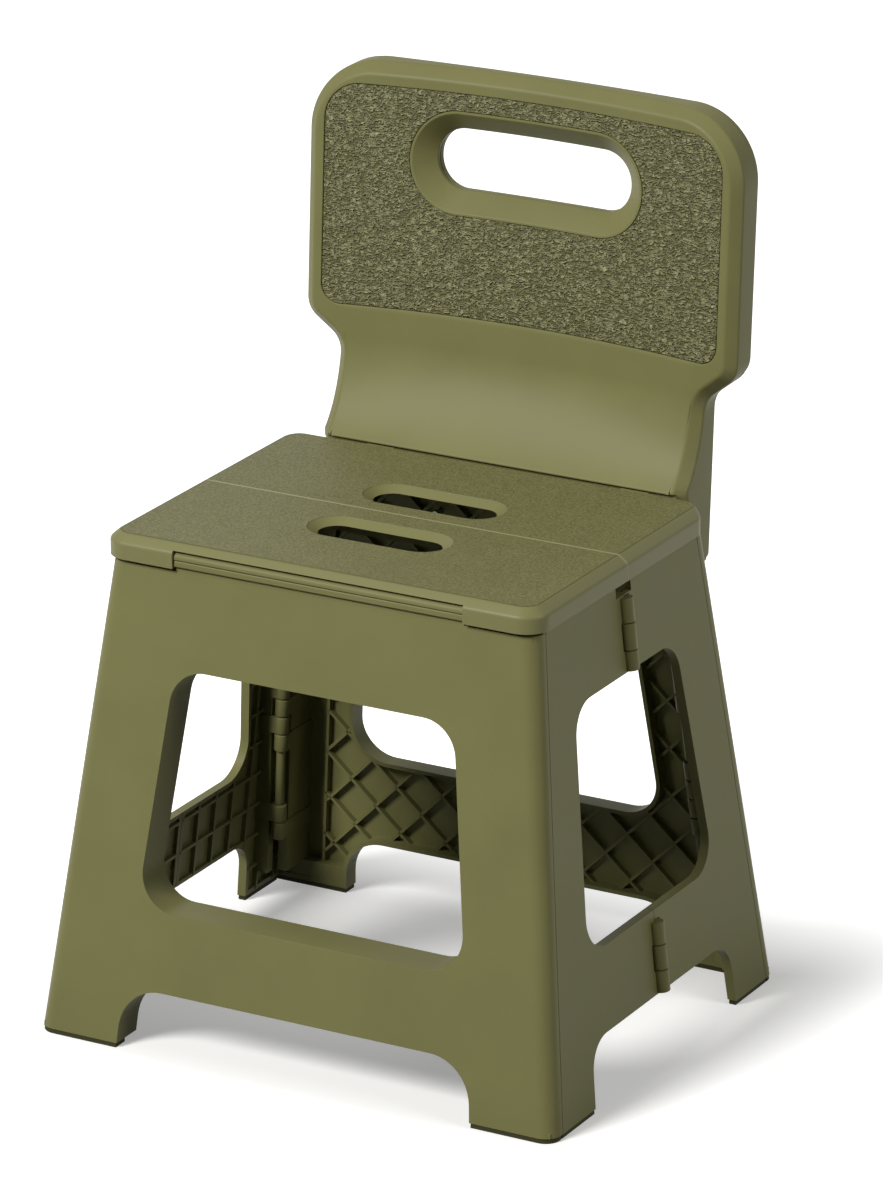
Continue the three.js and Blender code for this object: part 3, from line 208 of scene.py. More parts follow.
# Drawn steel
# Zinc-plated wire and screws: a bright grey metal with cloudy plating and die marks, which are drawn coarser than
# real ones so that they show.
steel_colour, steel_cloud = "#B9BBBD", "#8E8F8B"
die_mark, die_depth, die_strength, cloud_size = 0.35, 0.02, 0.5, 6
steel_bright, steel_dull = 0.28, 0.46
steel = bpy.data.materials.new("drawn_steel")
tree = emptied(steel)
at = node(tree, "ShaderNodeTexCoord").outputs["Object"]
marks, clouds = (node(tree, "ShaderNodeTexNoise", {"Vector": at, "Scale": 1 / (size * MM), "Detail": detail})
                 .outputs["Fac"] for size, detail in ((die_mark, 2.0), (cloud_size, 4.0)))
bump = node(tree, "ShaderNodeBump", {"Height": marks, "Distance": die_depth * MM, "Strength": die_strength})
tone = node(tree, "ShaderNodeMix", {"Factor": clouds, "A": linear(steel_cloud), "B": linear(steel_colour)},
            data_type="RGBA").outputs[2]
gloss = node(tree, "ShaderNodeMapRange", {"Value": clouds, "To Min": steel_bright, "To Max": steel_dull}).outputs[0]
shader = node(tree, "ShaderNodeBsdfPrincipled", {"Base Color": tone, "Metallic": 1.0, "Roughness": gloss,
                                                 "Normal": bump.outputs["Normal"]})
node(tree, "ShaderNodeOutputMaterial", {"Surface": shader.outputs[0]})

# Shared shape of the splayed body
# Front, back and sides are planes that lean inwards and meet at two apexes above the seat, so every panel is
# drawn flat, as across and up, and then laid on its leaning plane at a depth behind the outer face.
base_half_width, base_half_depth = 168.7, 139.5
top_half_width, top_half_depth = 136.8, 103.5
panel_top, sole_height = 283.2, 3
wall, flange_wall = 3, 2.6
corner_radius, corner_return = 10, 12
gap = 0.4  # between mouldings that move past each other
width_slope = (base_half_width - top_half_width) / panel_top
depth_slope = (base_half_depth - top_half_depth) / panel_top
apex_height = base_half_depth / depth_slope
apex_x = base_half_width - width_slope * apex_height
arc_step, arc_slack = 7.5, 0.01  # degrees; the slack keeps a whole number of steps from getting one more
weld_reach = 0.01
piece_crease, edge_crease, edge_steps = 35, 32, 2


def half_width(z):
    """Half the body's width at a height, on its leaning sides."""
    return base_half_width - width_slope * z


def half_depth(z):
    """Half the body's depth at a height, on its leaning front and back."""
    return base_half_depth - depth_slope * z


def corner_arc(corners, i, steps=None):
    """The points that round one corner (across, up, radius) of an outline. The arc's centre lies on the corner's
    bisector at radius / sin(half the corner's angle). It turns in a set number of steps, or in arc_step degrees."""
    here, before, after = (np.array(corners[j % len(corners)][:2], float) for j in (i, i - 1, i + 1))
    radius = corners[i][2]
    if radius == 0:
        return here[None]
    before = (before - here) / np.linalg.norm(before - here)
    after = (after - here) / np.linalg.norm(after - here)
    half = math.acos(np.clip(before @ after, -1, 1)) / 2
    centre = here + (before + after) / np.linalg.norm(before + after) * radius / math.sin(half)
    start = here + before * radius / math.tan(half) - centre
    finish = here + after * radius / math.tan(half) - centre
    turn = math.atan2(start[0] * finish[1] - start[1] * finish[0], start @ finish)
    if steps is None:
        steps = max(3, math.ceil(abs(math.degrees(turn)) / arc_step - arc_slack))
    t = np.linspace(0, turn, steps + 1)[:, None]
    swept = np.hstack([start[0] * np.cos(t) - start[1] * np.sin(t), start[0] * np.sin(t) + start[1] * np.cos(t)])
    return centre + swept


def rounded(corners):
    """Corners (across, up, radius) as an outline with an arc at each of them."""
    return np.vstack([corner_arc(corners, i) for i in range(len(corners))])


def faces_out(mesh):
    """Turns all faces of a closed mesh outwards."""
    work = bmesh.new()
    work.from_mesh(mesh)
    bmesh.ops.recalc_face_normals(work, faces=work.faces)
    work.to_mesh(mesh)
    work.free()


def carried(name, rings, loop=False):
    """A surface through rings of points, as an array (ring, point, xyz) in millimetres: neighbours on a ring and
    on the next ring share a face, and the first and last ring are closed by a face, or by each other in a loop."""
    rings = np.asarray(rings, float)
    count, size = rings.shape[:2]
    ring = np.arange(count if loop else count - 1)[:, None]
    point = np.arange(size)[None]
    after, beside = (ring + 1) % count, (point + 1) % size
    faces = np.stack([ring * size + point, ring * size + beside, after * size + beside, after * size + point], 2)
    faces = faces.reshape(-1, 4).tolist()
    if not loop:
        faces += [list(range(size))[::-1], list(range((count - 1) * size, count * size))]
    mesh = bpy.data.meshes.new(name)
    mesh.from_pydata(place(rings.reshape(-1, 3)).tolist(), [], faces)
    faces_out(mesh)
    return added(name, mesh)


def on_end(end):
    """Lays (across, up, depth) on the front (-1) or back (1) plane: y = end * (half depth there - depth)."""
    return lambda across, up, depth: np.stack([across, end * (half_depth(up) - depth), up], -1)


def on_side(hand):
    """Lays (across, up, depth) on the left (-1) or right (1) plane: x = hand * (half width there - depth)."""
    return lambda across, up, depth: np.stack([hand * (half_width(up) - depth), across, up], -1)


def plate(name, outline, near, far, lay):
    """A flat outline laid on a leaning plane and carried from one depth to another."""
    rings = [lay(outline[:, 0], outline[:, 1], np.full(len(outline), depth)) for depth in (near, far)]
    return carried(name, rings)


def baked(piece):
    """A piece's mesh with its modifiers worked out."""
    return bpy.data.meshes.new_from_object(piece.evaluated_get(bpy.context.evaluated_depsgraph_get()))


def settle(piece, pieces, how):
    """Joins other solids to a piece (UNION), cuts them from it (DIFFERENCE) or keeps what it shares with them
    (INTERSECT), and removes them."""
    for other in pieces:
        change = piece.modifiers.new(how.lower(), "BOOLEAN")
        change.operation = how
        change.solver = "MANIFOLD"
        change.object = other
    mesh = baked(piece)
    piece.modifiers.clear()
    piece.data = mesh
    for other in pieces:
        bpy.data.objects.remove(other)
    return piece


def soften(piece, radius, crease=edge_crease):
    """Rounds the sharp edges of a moulded piece and shades its curved walls smooth."""
    merge = piece.modifiers.new("merge", "WELD")
    merge.merge_threshold = weld_reach * MM
    edge = piece.modifiers.new("edges", "BEVEL")
    edge.width = radius * MM
    edge.segments = edge_steps
    edge.limit_method = "ANGLE"
    edge.angle_limit = math.radians(crease)
    edge.harden_normals = True
    piece.data.shade_smooth()
    return piece


def shaded(piece, crease=piece_crease):
    """Shades a piece smooth, but for edges that turn by more than the crease in degrees."""
    piece.data.shade_smooth()
    piece.data.set_sharp_from_angle(angle=math.radians(crease))
    return piece


def fused(name, pieces):
    """One piece made of several closed surfaces that overlap, as a mould fuses ribs to a wall."""
    work = bmesh.new()
    for part in pieces:
        work.from_mesh(baked(part))
        bpy.data.objects.remove(part)
    mesh = bpy.data.meshes.new(name)
    work.to_mesh(mesh)
    work.free()
    return shaded(added(name, mesh))


def finish_piece(piece, material, body, replaced=()):
    """Gives a piece its finish and its body, and hides the CAD nodes that it stands for."""
    piece.data.materials.clear()
    piece.data.materials.append(material)
    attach(piece, body)
    if replaced:
        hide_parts(*replaced)
    return piece


# Knuckles and pins
# Each hinge is a row of moulded barrels round a steel pin. A barrel is a turned form with eased ends. A corner
# hinge has groups of short barrels (foot, top, count), which sit on a thin wall that runs down to the foot block.
corner_pivot_behind, corner_pivot_inside = 27, 14
corner_knuckle_radius, corner_sleeve_radius, corner_base_radius = 4.4, 2.8, 4.6
corner_groups = [(17, 64, 4), (100, 147, 4), (177, 224, 4)]
back_group = (40.5, 64, 2)
knuckle_gap, knuckle_web = 0.8, 8
corner_wall, corner_wall_start, foot_block = 6, 5.3, 17
middle_proud = 0.5  # how far the middle hinge line lies outside the side's face
middle_knuckle_radius, middle_knuckle_room, knuckle_play = 4.8, 1.1, 0.3
middle_edges = [(232.8, 245, 261, 276), (41.4, 55, 70, 84)]  # heights where knuckles meet, upper and lower row
barrel_sides, barrel_ease, ease_points = 40, 0.5, 4
steep = 0.9  # an upright bar's circles are drawn from x, and others' from z
overlap = 1  # how far two forms that are fused run into each other


def corner_line(z, hand, end):
    """The slanting corner hinge line, which runs to an apex above the seat: its distance from the apex shrinks
    in proportion to the height left."""
    share = (apex_height - z) / (apex_height - panel_top)
    x = apex_x + (top_half_width - corner_pivot_inside - apex_x) * share
    return np.array([hand * x, end * (top_half_depth - corner_pivot_behind) * share, z])


def middle_line(z, hand):
    """The slanting middle hinge line of a side, just outside its face, by the same proportion."""
    share = (apex_height - z) / (apex_height - panel_top)
    return np.array([hand * (apex_x + (top_half_width + middle_proud - apex_x) * share), 0, z])


def every_other(edges, first):
    """Every other pair of neighbours in a row of edges, from the first pair on or from the second."""
    return list(zip(edges[:-1], edges[1:]))[0 if first else 1::2]


def barrel(name, start, finish, radius, ease=barrel_ease):
    """A round bar between two points: circles of the given radius carried along the line, drawn in by a quarter
    circle at both ends."""
    start, finish = np.asarray(start, float), np.asarray(finish, float)
    length = np.linalg.norm(finish - start)
    along = (finish - start) / length
    aside = np.cross(along, [0, 0, 1.0] if abs(along[2]) < steep else [1.0, 0, 0])
    aside /= np.linalg.norm(aside)
    third = np.cross(along, aside)
    t = np.linspace(0, np.pi / 2, ease_points)
    places = np.concatenate([ease * (1 - np.cos(t)), length - ease * (1 - np.cos(t[::-1]))])
    radii = np.concatenate([radius - ease * (1 - np.sin(t)), radius - ease * (1 - np.sin(t[::-1]))])
    turn = np.linspace(0, 2 * np.pi, barrel_sides, endpoint=False)
    circle = np.cos(turn)[:, None] * aside + np.sin(turn)[:, None] * third
    rings = start + places[:, None, None] * along + radii[:, None, None] * circle[None]
    return carried(name, rings)


def web_ring(z, hand, end, on_panel, start, width):
    """One height of a web that runs from the hinge line, or a start beyond it, into the panel or the side."""
    x, y = corner_line(z, hand, end)[:2]
    h = width / 2
    if on_panel:
        near, far = y + end * start, end * (half_depth(z) - wall / 2)
        return [(x - h, near, z), (x + h, near, z), (x + h, far, z), (x - h, far, z)]
    near, far = x + hand * start, hand * (half_width(z) - wall / 2)
    return [(near, y - h, z), (near, y + h, z), (far, y + h, z), (far, y - h, z)]


def corner_barrels(hand, end, on_panel):
    """The barrels of one corner hinge that belong to the panel, or to the side, each with its web, and the wall
    behind them. The panel also carries the slim sleeves between the groups and, in front, the round base."""
    made = []
    for foot, top, count in corner_groups if end == -1 else [back_group] + corner_groups[1:]:
        for low, high in every_other(np.linspace(foot, top, count + 1), on_panel):
            low, high = low + knuckle_gap / 2, high - knuckle_gap / 2
            made.append(barrel("barrel", corner_line(low, hand, end), corner_line(high, hand, end),
                               corner_knuckle_radius))
            made.append(carried("web", [web_ring(z, hand, end, on_panel, 0, knuckle_web) for z in (low, high)]))
    made.append(carried("wall", [web_ring(z, hand, end, on_panel, corner_wall_start, corner_wall)
                                 for z in (foot_block - overlap, corner_groups[-1][1])]))
    if on_panel:
        for lower, upper in zip(corner_groups[:-1], corner_groups[1:]):
            made.append(barrel("sleeve", corner_line(lower[1], hand, end), corner_line(upper[0], hand, end),
                               corner_sleeve_radius))
        if end == -1:
            made.append(barrel("base", corner_line(sole_height, hand, end),
                               corner_line(corner_groups[0][0] - overlap, hand, end), corner_base_radius))
    return made


# Diagonal rib lattice
# Thin moulded ribs cross at right angles behind the front and the back panel. Each rib is cut where the panel ends,
# and reaches a little into the wall that it is moulded to.
rib_pitch, rib_wall, rib_root = 22, 1.8, 0.5
rib_reading = 0.5  # steps along a rib's middle line at which it is tested


def runs(kept):
    """The first and the last place of each run of true values."""
    steps = np.diff(np.concatenate([[0], kept.astype(int), [0]]))
    return zip(np.flatnonzero(steps == 1), np.flatnonzero(steps == -1) - 1)


def lattice(inside, half, near, far, lay):
    """Ribs along both diagonals. A rib runs along up = +/- across + place, and is kept where the test says that
    its middle line is inside the panel; each run of kept points becomes one bar."""
    step = rib_pitch * math.sqrt(2)
    thick = rib_wall / math.sqrt(2)
    up = np.arange(sole_height, panel_top, rib_reading)
    bars = []
    for lean in (-1, 1):
        for start in np.arange(-math.ceil((half + panel_top) / step) * step, half + panel_top, step):
            across = start + lean * up
            for a, b in runs(inside(across, up)):
                if up[b] - up[a] < rib_wall:
                    continue
                outline = np.array([(across[a] - thick, up[a]), (across[a] + thick, up[a]),
                                    (across[b] + thick, up[b]), (across[b] - thick, up[b])])
                bars.append(plate("rib", outline, near, far, lay))
    return bars


# Front and back panel
# Each is one polypropylene moulding that wraps round both corners, with flanges round its window and floor arch
# (deeper in front), a rim at the top, a sole plate in each foot, crossing ribs and half the barrels of two hinges.
ends, hands = ((-1, "front"), (1, "back")), ((-1, "left"), (1, "right"))
end_bodies = {-1: "front_frame", 1: "back_frame"}
window_bottom, window_bottom_half = {-1: 85, 1: 95}, {-1: 106.6, 1: 104.2}
window_top, window_top_half, window_radius = 227.6, 89.8, 22
window_sizes = {end: (window_top_half, window_bottom_half[end], window_top, window_bottom[end], window_radius)
                for end in (-1, 1)}  # half width at the top and at the bottom, heights of both, corner radius
arch_foot_half = 115.5
arch_sizes = (112.5, arch_foot_half, 38, 27)  # half width at the top and at the foot, height, corner radius
window_depth, arch_depth = {-1: 24, 1: 12}, {-1: 22, 1: 11.5}
rim_depth, sole_depth, rib_depth = 9, 11.4, 7
flange_root = 0.8  # how far flanges and rims reach into the skin
corner_rib, block_lift = 34, 0.2
edge_round = 1.5
past = 5  # how far cutters reach past what they cut


def opening(top_half, bottom_half, top, bottom, radius, grow=0):
    """A window outline: a trapezium with rounded corners, grown outwards by the given amount."""
    lean = (bottom_half - top_half) / (top - bottom)
    high, low = top_half + grow - lean * grow, bottom_half + grow + lean * grow
    return rounded([(-low, bottom - grow, radius + grow), (low, bottom - grow, radius + grow),
                    (high, top + grow, radius + grow), (-high, top + grow, radius + grow)])


def arch(top_half, foot_half, top, radius, grow=0):
    """A floor arch outline that starts below the floor."""
    lean = (foot_half - top_half) / top
    foot = foot_half + grow + lean * past
    return rounded([(-foot, -past, 0), (foot, -past, 0), (top_half + grow, top + grow, radius + grow),
                    (-top_half - grow, top + grow, radius + grow)])


def flange_blocks(window, floor_arch, window_reach, arch_reach, lay):
    """The blocks round a window and a floor arch, of which the openings leave the flanges. The arch's block is cut
    level at the sole."""
    arch_outline = np.maximum(arch(*floor_arch, flange_wall), [-np.inf, sole_height])
    return [plate("flange", opening(*window, flange_wall), wall - flange_root, window_reach, lay),
            plate("flange", arch_outline, wall - flange_root, arch_reach, lay)]


def opening_cutters(window, floor_arch, reach, lay):
    """The solids that cut a window and a floor arch through a panel and its flanges."""
    return [plate("cut", outline, -past, reach + past, lay) for outline in (opening(*window), arch(*floor_arch))]


def wrapped_skin(end):
    """The outer wall: a C-shaped section, with a round corner at each end and a short return to the side, whose
    two rings at the foot and at the top follow the splay."""
    rings = []
    for z in (sole_height, panel_top):
        section = []
        for inset in (0, wall):
            x, y, seam = half_width(z) - inset, half_depth(z) - inset, half_depth(z) - corner_return
            radius = corner_radius - inset
            line = rounded([(-x, seam, 0), (-x, y, radius), (x, y, radius), (x, seam, 0)])
            section.append(line if inset == 0 else line[::-1])
        section = np.vstack(section)
        rings.append(np.column_stack([section[:, 0], end * section[:, 1], np.full(len(section), z)]))
    return carried("skin", rings)


def box_outline(x0, x1, z0, z1):
    """A plain rectangle, across and up."""
    return np.array([(x0, z0), (x1, z0), (x1, z1), (x0, z1)], float)


def end_panel_shell(end):
    """Skin, flanges, rim and sole plates in one, with the window and the arch cut through."""
    lay, root = on_end(end), wall - flange_root
    shell = wrapped_skin(end)
    top_inner, foot_inner = half_width(panel_top) - wall, half_width(sole_height) - wall
    flanges = flange_blocks(window_sizes[end], arch_sizes, window_depth[end], arch_depth[end], lay)
    rim = box_outline(-top_inner, top_inner, panel_top - wall, panel_top)
    sole = box_outline(-foot_inner, foot_inner, sole_height, sole_height + wall)
    settle(shell, flanges + [plate("rim", rim, root, rim_depth, lay), plate("sole", sole, root, sole_depth, lay)],
           "UNION")
    return settle(shell, opening_cutters(window_sizes[end], arch_sizes, window_depth[-1], lay), "DIFFERENCE")


def off_opening(across, up, top_half, bottom_half, top, bottom, radius):
    """True where a point of the panel is off an opening: outside its outline grown by half a flange wall, which is
    a trapezium whose corners are kept by their distance from the corner circles' centres."""
    grow = flange_wall / 2
    half = top_half + (bottom_half - top_half) / (top - bottom) * (top - up) + grow
    radius = radius + grow
    past_side = np.maximum(np.abs(across) - half + radius, 0)
    past_end = np.maximum(np.maximum(up - top - grow, bottom - grow - up) + radius, 0)
    return np.hypot(past_side, past_end) > radius


def arch_opening(top_half, foot_half, top, radius):
    """The arch as an opening whose lower corners are far below the floor."""
    low = -4 * radius
    return (top_half, foot_half + (foot_half - top_half) / top * -low, top, low, radius)


def end_inside(end, across, up):
    """True between a panel's two corner ribs, off its window and arch."""
    kept = off_opening(across, up, *window_sizes[end]) & off_opening(across, up, *arch_opening(*arch_sizes))
    return kept & (np.abs(across) < half_width(up) - corner_rib) & (up < panel_top - wall / 2)


def upright_rib(x_at, low, high, lay, deep):
    """A straight rib that follows the splay: its middle line is given as a function of height."""
    h = rib_wall / 2
    outline = np.array([(x_at(low) - h, low), (x_at(low) + h, low), (x_at(high) + h, high), (x_at(high) - h, high)])
    return plate("rib", outline, wall - rib_root, deep, lay)


for end, end_name in ends:
    body = end_bodies[end]
    shell = finish_piece(soften(end_panel_shell(end), edge_round), olive, body, [f"{end_name}_panel"])
    shell.name = f"{end_name}_panel_shell"
    inside = lambda across, up: end_inside(end, across, up)
    inner = lattice(inside, base_half_width, wall - rib_root, rib_depth, on_end(end))
    inner += corner_barrels(-1, end, True) + corner_barrels(1, end, True)
    for hand in (-1, 1):
        inner.append(upright_rib(lambda z: hand * (half_width(z) - corner_rib), foot_block, panel_top - wall,
                                 on_end(end), rib_depth))
        block_sides = sorted((hand * (arch_foot_half + overlap), hand * (half_width(0) - corner_return)))
        block = box_outline(*block_sides, sole_height + block_lift, foot_block)
        inner.append(plate("block", block, wall - rib_root, sole_depth - rib_root, on_end(end)))
    finish_piece(fused(f"{end_name}_panel_ribs", inner), olive, body)


# Backrest front shell
# One polypropylene moulding: a soft rim round a sunken pad, a hand hole with sloped walls, a cove that sweeps
# forward to an undercut lip over the seat, and a box below it that is screwed to the back panel.
back_half, back_top, back_top_radius = 141.5, 519, 42
shoulder_height, shoulder_radius = 367.4, 16
neck_half, neck_top, neck_radius = 120, 349.5, 17
slant_run = math.tan(math.atan2(back_half - neck_half, shoulder_height - neck_top) / 2)
mount_bottom, mount_radius, mount_y = 250, 3, 103.8
pad_plane, pad_bottom, back_lean = 126.1, 372.8, 0.0503
rear_lean, back_thickness, rear_shell_depth = 0.06, 28, 7
cove_top, lip_y, lip_height = 352, 105.2, 300.5
back_pivot, end_pivot_z, back_pivot_room = 98, 291.5, 9.8
mount_face = [(mount_bottom, 108.0), (panel_top, mount_y), (end_pivot_z, mount_y), (lip_height, lip_y)]  # up, y
bow, crown = 9.4, 2.2
pad_half, pad_top, pad_top_radius, pad_bottom_radius = 129.9, 506, 22, 12
dish_height, dish_length, dish_opening, dish_ease = 464.2, 150, 60.2, 0.2
pocket_depth, pocket_grow, dish_grow, hole_inset = 3, 0.5, 0.8, 11.7
# The edges are profiles of (inwards, behind the face) and, where they are rounded, a radius.
rim_edge = rounded([(0, 13, 0), (0, 6.8, 3.2), (6.6, 0, 3.6), (13, 0, 0)])[1:-1]
pocket_edge = [(-pocket_grow, 0), (-0.15, 0.15), (0, 0.5), (0, pocket_depth)]
dish_edge = [(-dish_grow, pocket_depth), (-dish_grow, 0.45), (-0.65, 0.3)]
hole_edge = rounded([(-0.6, 0.3, 0), (0.6, 0.3, 1.4), (hole_inset, 10.6, 0.8), (hole_inset, 13, 0)])[1:-1]
bottom_share = 12  # the length at each end of an inner outline's bottom edge that belongs to the neck
steps_bottom, steps_side, steps_arc, steps_top, steps_face = 80, 30, 24, 60, 50
steps_neck, steps_slant, steps_small, steps_foot = 24, 4, 10, 4
lip_crease = 0.004  # share of the face between rings set close together, which keep the lip's edge crisp
part_ease, shell_crease = 0.5, 38
lip_half, lip_front, lip_recess, lip_thick, recess_bottom = 132, 96.2, 107.6, 0.9, 290


def traced(corners):
    """An outline with a set number of points: each corner (across, up, radius, arc steps, line steps) becomes an
    arc in equal turns, followed by a straight line in equal steps to the next corner's arc."""
    arcs = [corner_arc(corners, i, corner[3]) for i, corner in enumerate(corners)]
    pieces = []
    for i, arc in enumerate(arcs):
        t = np.linspace(0, 1, corners[i][4] + 1)[1:-1, None]
        pieces += [arc, arc[-1] * (1 - t) + arcs[(i + 1) % len(arcs)][0] * t]
    return np.vstack(pieces)


def back_outline(inset):
    """The backrest's outline from the foot of its right side round its top to its bottom edge, drawn in."""
    n, w, top, low = neck_half - inset, back_half - inset, back_top - inset, mount_bottom + inset
    rise = inset * slant_run
    return traced([(n, low, mount_radius, steps_foot, steps_neck),
                   (n, neck_top + rise, neck_radius + inset, steps_small, steps_slant),
                   (w, shoulder_height + rise, shoulder_radius - inset, steps_small, steps_side),
                   (w, top, back_top_radius - inset, steps_arc, steps_top),
                   (-w, top, back_top_radius - inset, steps_arc, steps_side),
                   (-w, shoulder_height + rise, shoulder_radius - inset, steps_small, steps_slant),
                   (-n, neck_top + rise, neck_radius + inset, steps_small, steps_neck),
                   (-n, low, mount_radius, steps_foot, steps_bottom)])


def inner_outline(half, low, high, low_radius, high_radius):
    """A rounded rectangle with as many points as the backrest's outline, in the same order. The ends of its
    bottom edge belong to the neck, so that lines from one outline to the other never cross."""
    straight, arc = steps_foot + steps_neck, steps_small + steps_slant + steps_small
    turn_off = half - low_radius - bottom_share
    return traced([(turn_off, low, 0, 0, straight), (half, low, low_radius, arc, steps_side),
                   (half, high, high_radius, steps_arc, steps_top), (-half, high, high_radius, steps_arc, steps_side),
                   (-half, low, low_radius, arc, straight), (-turn_off, low, 0, 0, steps_bottom)])


def pad_outline(inset):
    """The pad's outline, drawn in."""
    return inner_outline(pad_half - inset, pad_bottom + inset, pad_top - inset,
                         pad_bottom_radius - inset, pad_top_radius - inset)


def dish_outline(inset):
    """The long round outline of the hand hole's mouth, drawn in."""
    half = dish_opening / 2 - inset
    return inner_outline(dish_length / 2 - inset, dish_height - half, dish_height + half, half - dish_ease,
                         half - dish_ease)


def shell_front(z):
    """The front face's y by height: the leaning head, then the cove as a quadratic curve whose parameter is
    solved from its height, then the mounting face with a round channel along the seat's hinge line."""
    end_y = pad_plane + back_lean * (cove_top - pad_bottom)
    bend_y, bend_z = end_y - (cove_top - lip_height) * back_lean, (lip_height * 2 + cove_top) / 3
    a, b = lip_height - 2 * bend_z + cove_top, 2 * (bend_z - lip_height)
    t = (-b + np.sqrt(b * b + 4 * a * np.clip(z - lip_height, 0, None))) / (2 * a)
    cove = lip_y * (1 - t) ** 2 + 2 * bend_y * t * (1 - t) + end_y * t ** 2
    heights, places = zip(*mount_face)
    low = np.interp(z, heights, places)
    reach = back_pivot_room ** 2 - (z - end_pivot_z) ** 2
    low = np.where(reach > 0, np.maximum(low, back_pivot + np.sqrt(np.clip(reach, 0, None))), low)
    head = pad_plane + back_lean * (z - pad_bottom)
    return np.where(z > cove_top, head, np.where(z > lip_height, cove, low))


def rear_face(z):
    """The rear face's y by height: a plane that leans a little more than the front."""
    return pad_plane + back_lean * (back_top - pad_bottom) + back_thickness + rear_lean * (z - back_top)


def bow_share(x, z):
    """How much of the bow a point has: a parabola across, which fades out from the cove down to the lip."""
    fade = np.clip((z - lip_height) / (cove_top - lip_height), 0, 1)
    return (1 - (x / pad_half) ** 2) * fade ** 2 * (3 - 2 * fade)


def bowed(outline, depth):
    """Lays an outline behind the front face, with its middle moved rearwards by the bow and up by the crown."""
    x, z = outline.T
    share = bow_share(x, z)
    return np.column_stack([x, shell_front(z) + depth + bow * share, z + crown * share])


def flat_back(outline, ahead):
    """Lays an outline on the flat rear face, or ahead of it, with the same crown."""
    x, z = outline.T
    return np.column_stack([x, rear_face(z) - ahead, z + crown * bow_share(x, z)])


def between(first, last, steps):
    """Outlines in steps from one to another, without the two ends."""
    return [first * (1 - t) + last * t for t in steps]


def box(x0, x1, y0, y1, z0, z1):
    """An upright box."""
    rings = [[(x0, y0, z), (x1, y0, z), (x1, y1, z), (x0, y1, z)] for z in (z0, z1)]
    return carried("box", rings)


rings = [flat_back(back_outline(part_ease), rear_shell_depth),
         flat_back(back_outline(0), rear_shell_depth + part_ease)]
rings += [bowed(back_outline(inset), depth) for inset, depth in rim_edge]
face_start, face_end = back_outline(rim_edge[-1][0]), pad_outline(-pocket_grow)
lip_step = (lip_height - face_start[-1, 1]) / (face_end[-1, 1] - face_start[-1, 1])
lip_steps = lip_step + np.array([-lip_crease, 0, lip_crease])
steps = np.sort(np.concatenate([np.linspace(0, 1, steps_face)[1:-1], lip_steps]))
rings += [bowed(outline, 0) for outline in between(face_start, face_end, steps)]
rings += [bowed(pad_outline(inset), depth) for inset, depth in pocket_edge]
rings += [bowed(dish_outline(inset), depth) for inset, depth in dish_edge + list(hole_edge)]
rings += [flat_back(dish_outline(hole_inset), rear_shell_depth)]
front_shell = carried("backrest_front", rings, loop=True)
recess = box(-lip_half, lip_half, lip_front, lip_recess, recess_bottom, lip_height - lip_thick)
shaded(settle(front_shell, [recess], "DIFFERENCE"), shell_crease)
finish_piece(front_shell, olive, "back_frame", ["backrest_front_shell"])

# Backrest pad
# A thin polypropylene plate with a coarse leather grain, pressed into the pocket of the front shell. The grain is
# drawn as ridges where a stretched and wandering noise passes its middle value, painted lighter on the ridges and
# darker between them, as painted light and shade of the relief.
pad_gap, pad_stand, pad_steps = 0.35, 0.3, 20
pad_grain, pad_grain_depth, pad_streak, pad_turn = 1.9, 2.0, 0.5, 38
wander_size, wander_reach, ridge_width = 5, 4, 0.15
# The pad's two colours paint shade between the ridges and light on them.
pad_shaded_hollow, pad_lit_ridge, pad_roughness, pad_sheen = "#58562F", "#A9A77C", 0.5, 0.3
pad_plastic = bpy.data.materials.new("coarse_grained_polypropylene")
tree = emptied(pad_plastic)
at = node(tree, "ShaderNodeTexCoord").outputs["Object"]
turned = node(tree, "ShaderNodeMapping", {"Vector": at, "Rotation": (0, math.radians(pad_turn), 0),
                                          "Scale": (pad_streak, 1.0, 1.0)}).outputs[0]
wander = node(tree, "ShaderNodeTexNoise", {"Vector": at, "Scale": 1 / (wander_size * MM), "Detail": 1.0})
wander = node(tree, "ShaderNodeVectorMath", {0: wander.outputs["Color"], 1: [wander_reach * MM] * 3, 2: turned},
              operation="MULTIPLY_ADD").outputs[0]
worms = node(tree, "ShaderNodeTexNoise", {"Vector": wander, "Scale": 1 / (pad_grain * MM), "Detail": 2.0,
                                          "Roughness": 0.5}).outputs["Fac"]
ridge = node(tree, "ShaderNodeMath", {0: worms, 1: 0.5}, operation="SUBTRACT").outputs[0]
ridge = node(tree, "ShaderNodeMath", {0: ridge}, operation="ABSOLUTE").outputs[0]
ridge = node(tree, "ShaderNodeMapRange", {"Value": ridge, "From Min": 0.0, "From Max": ridge_width, "To Min": 1.0,
                                          "To Max": 0.0}).outputs[0]
bump = node(tree, "ShaderNodeBump", {"Height": ridge, "Distance": pad_grain_depth * MM, "Strength": 1.0})
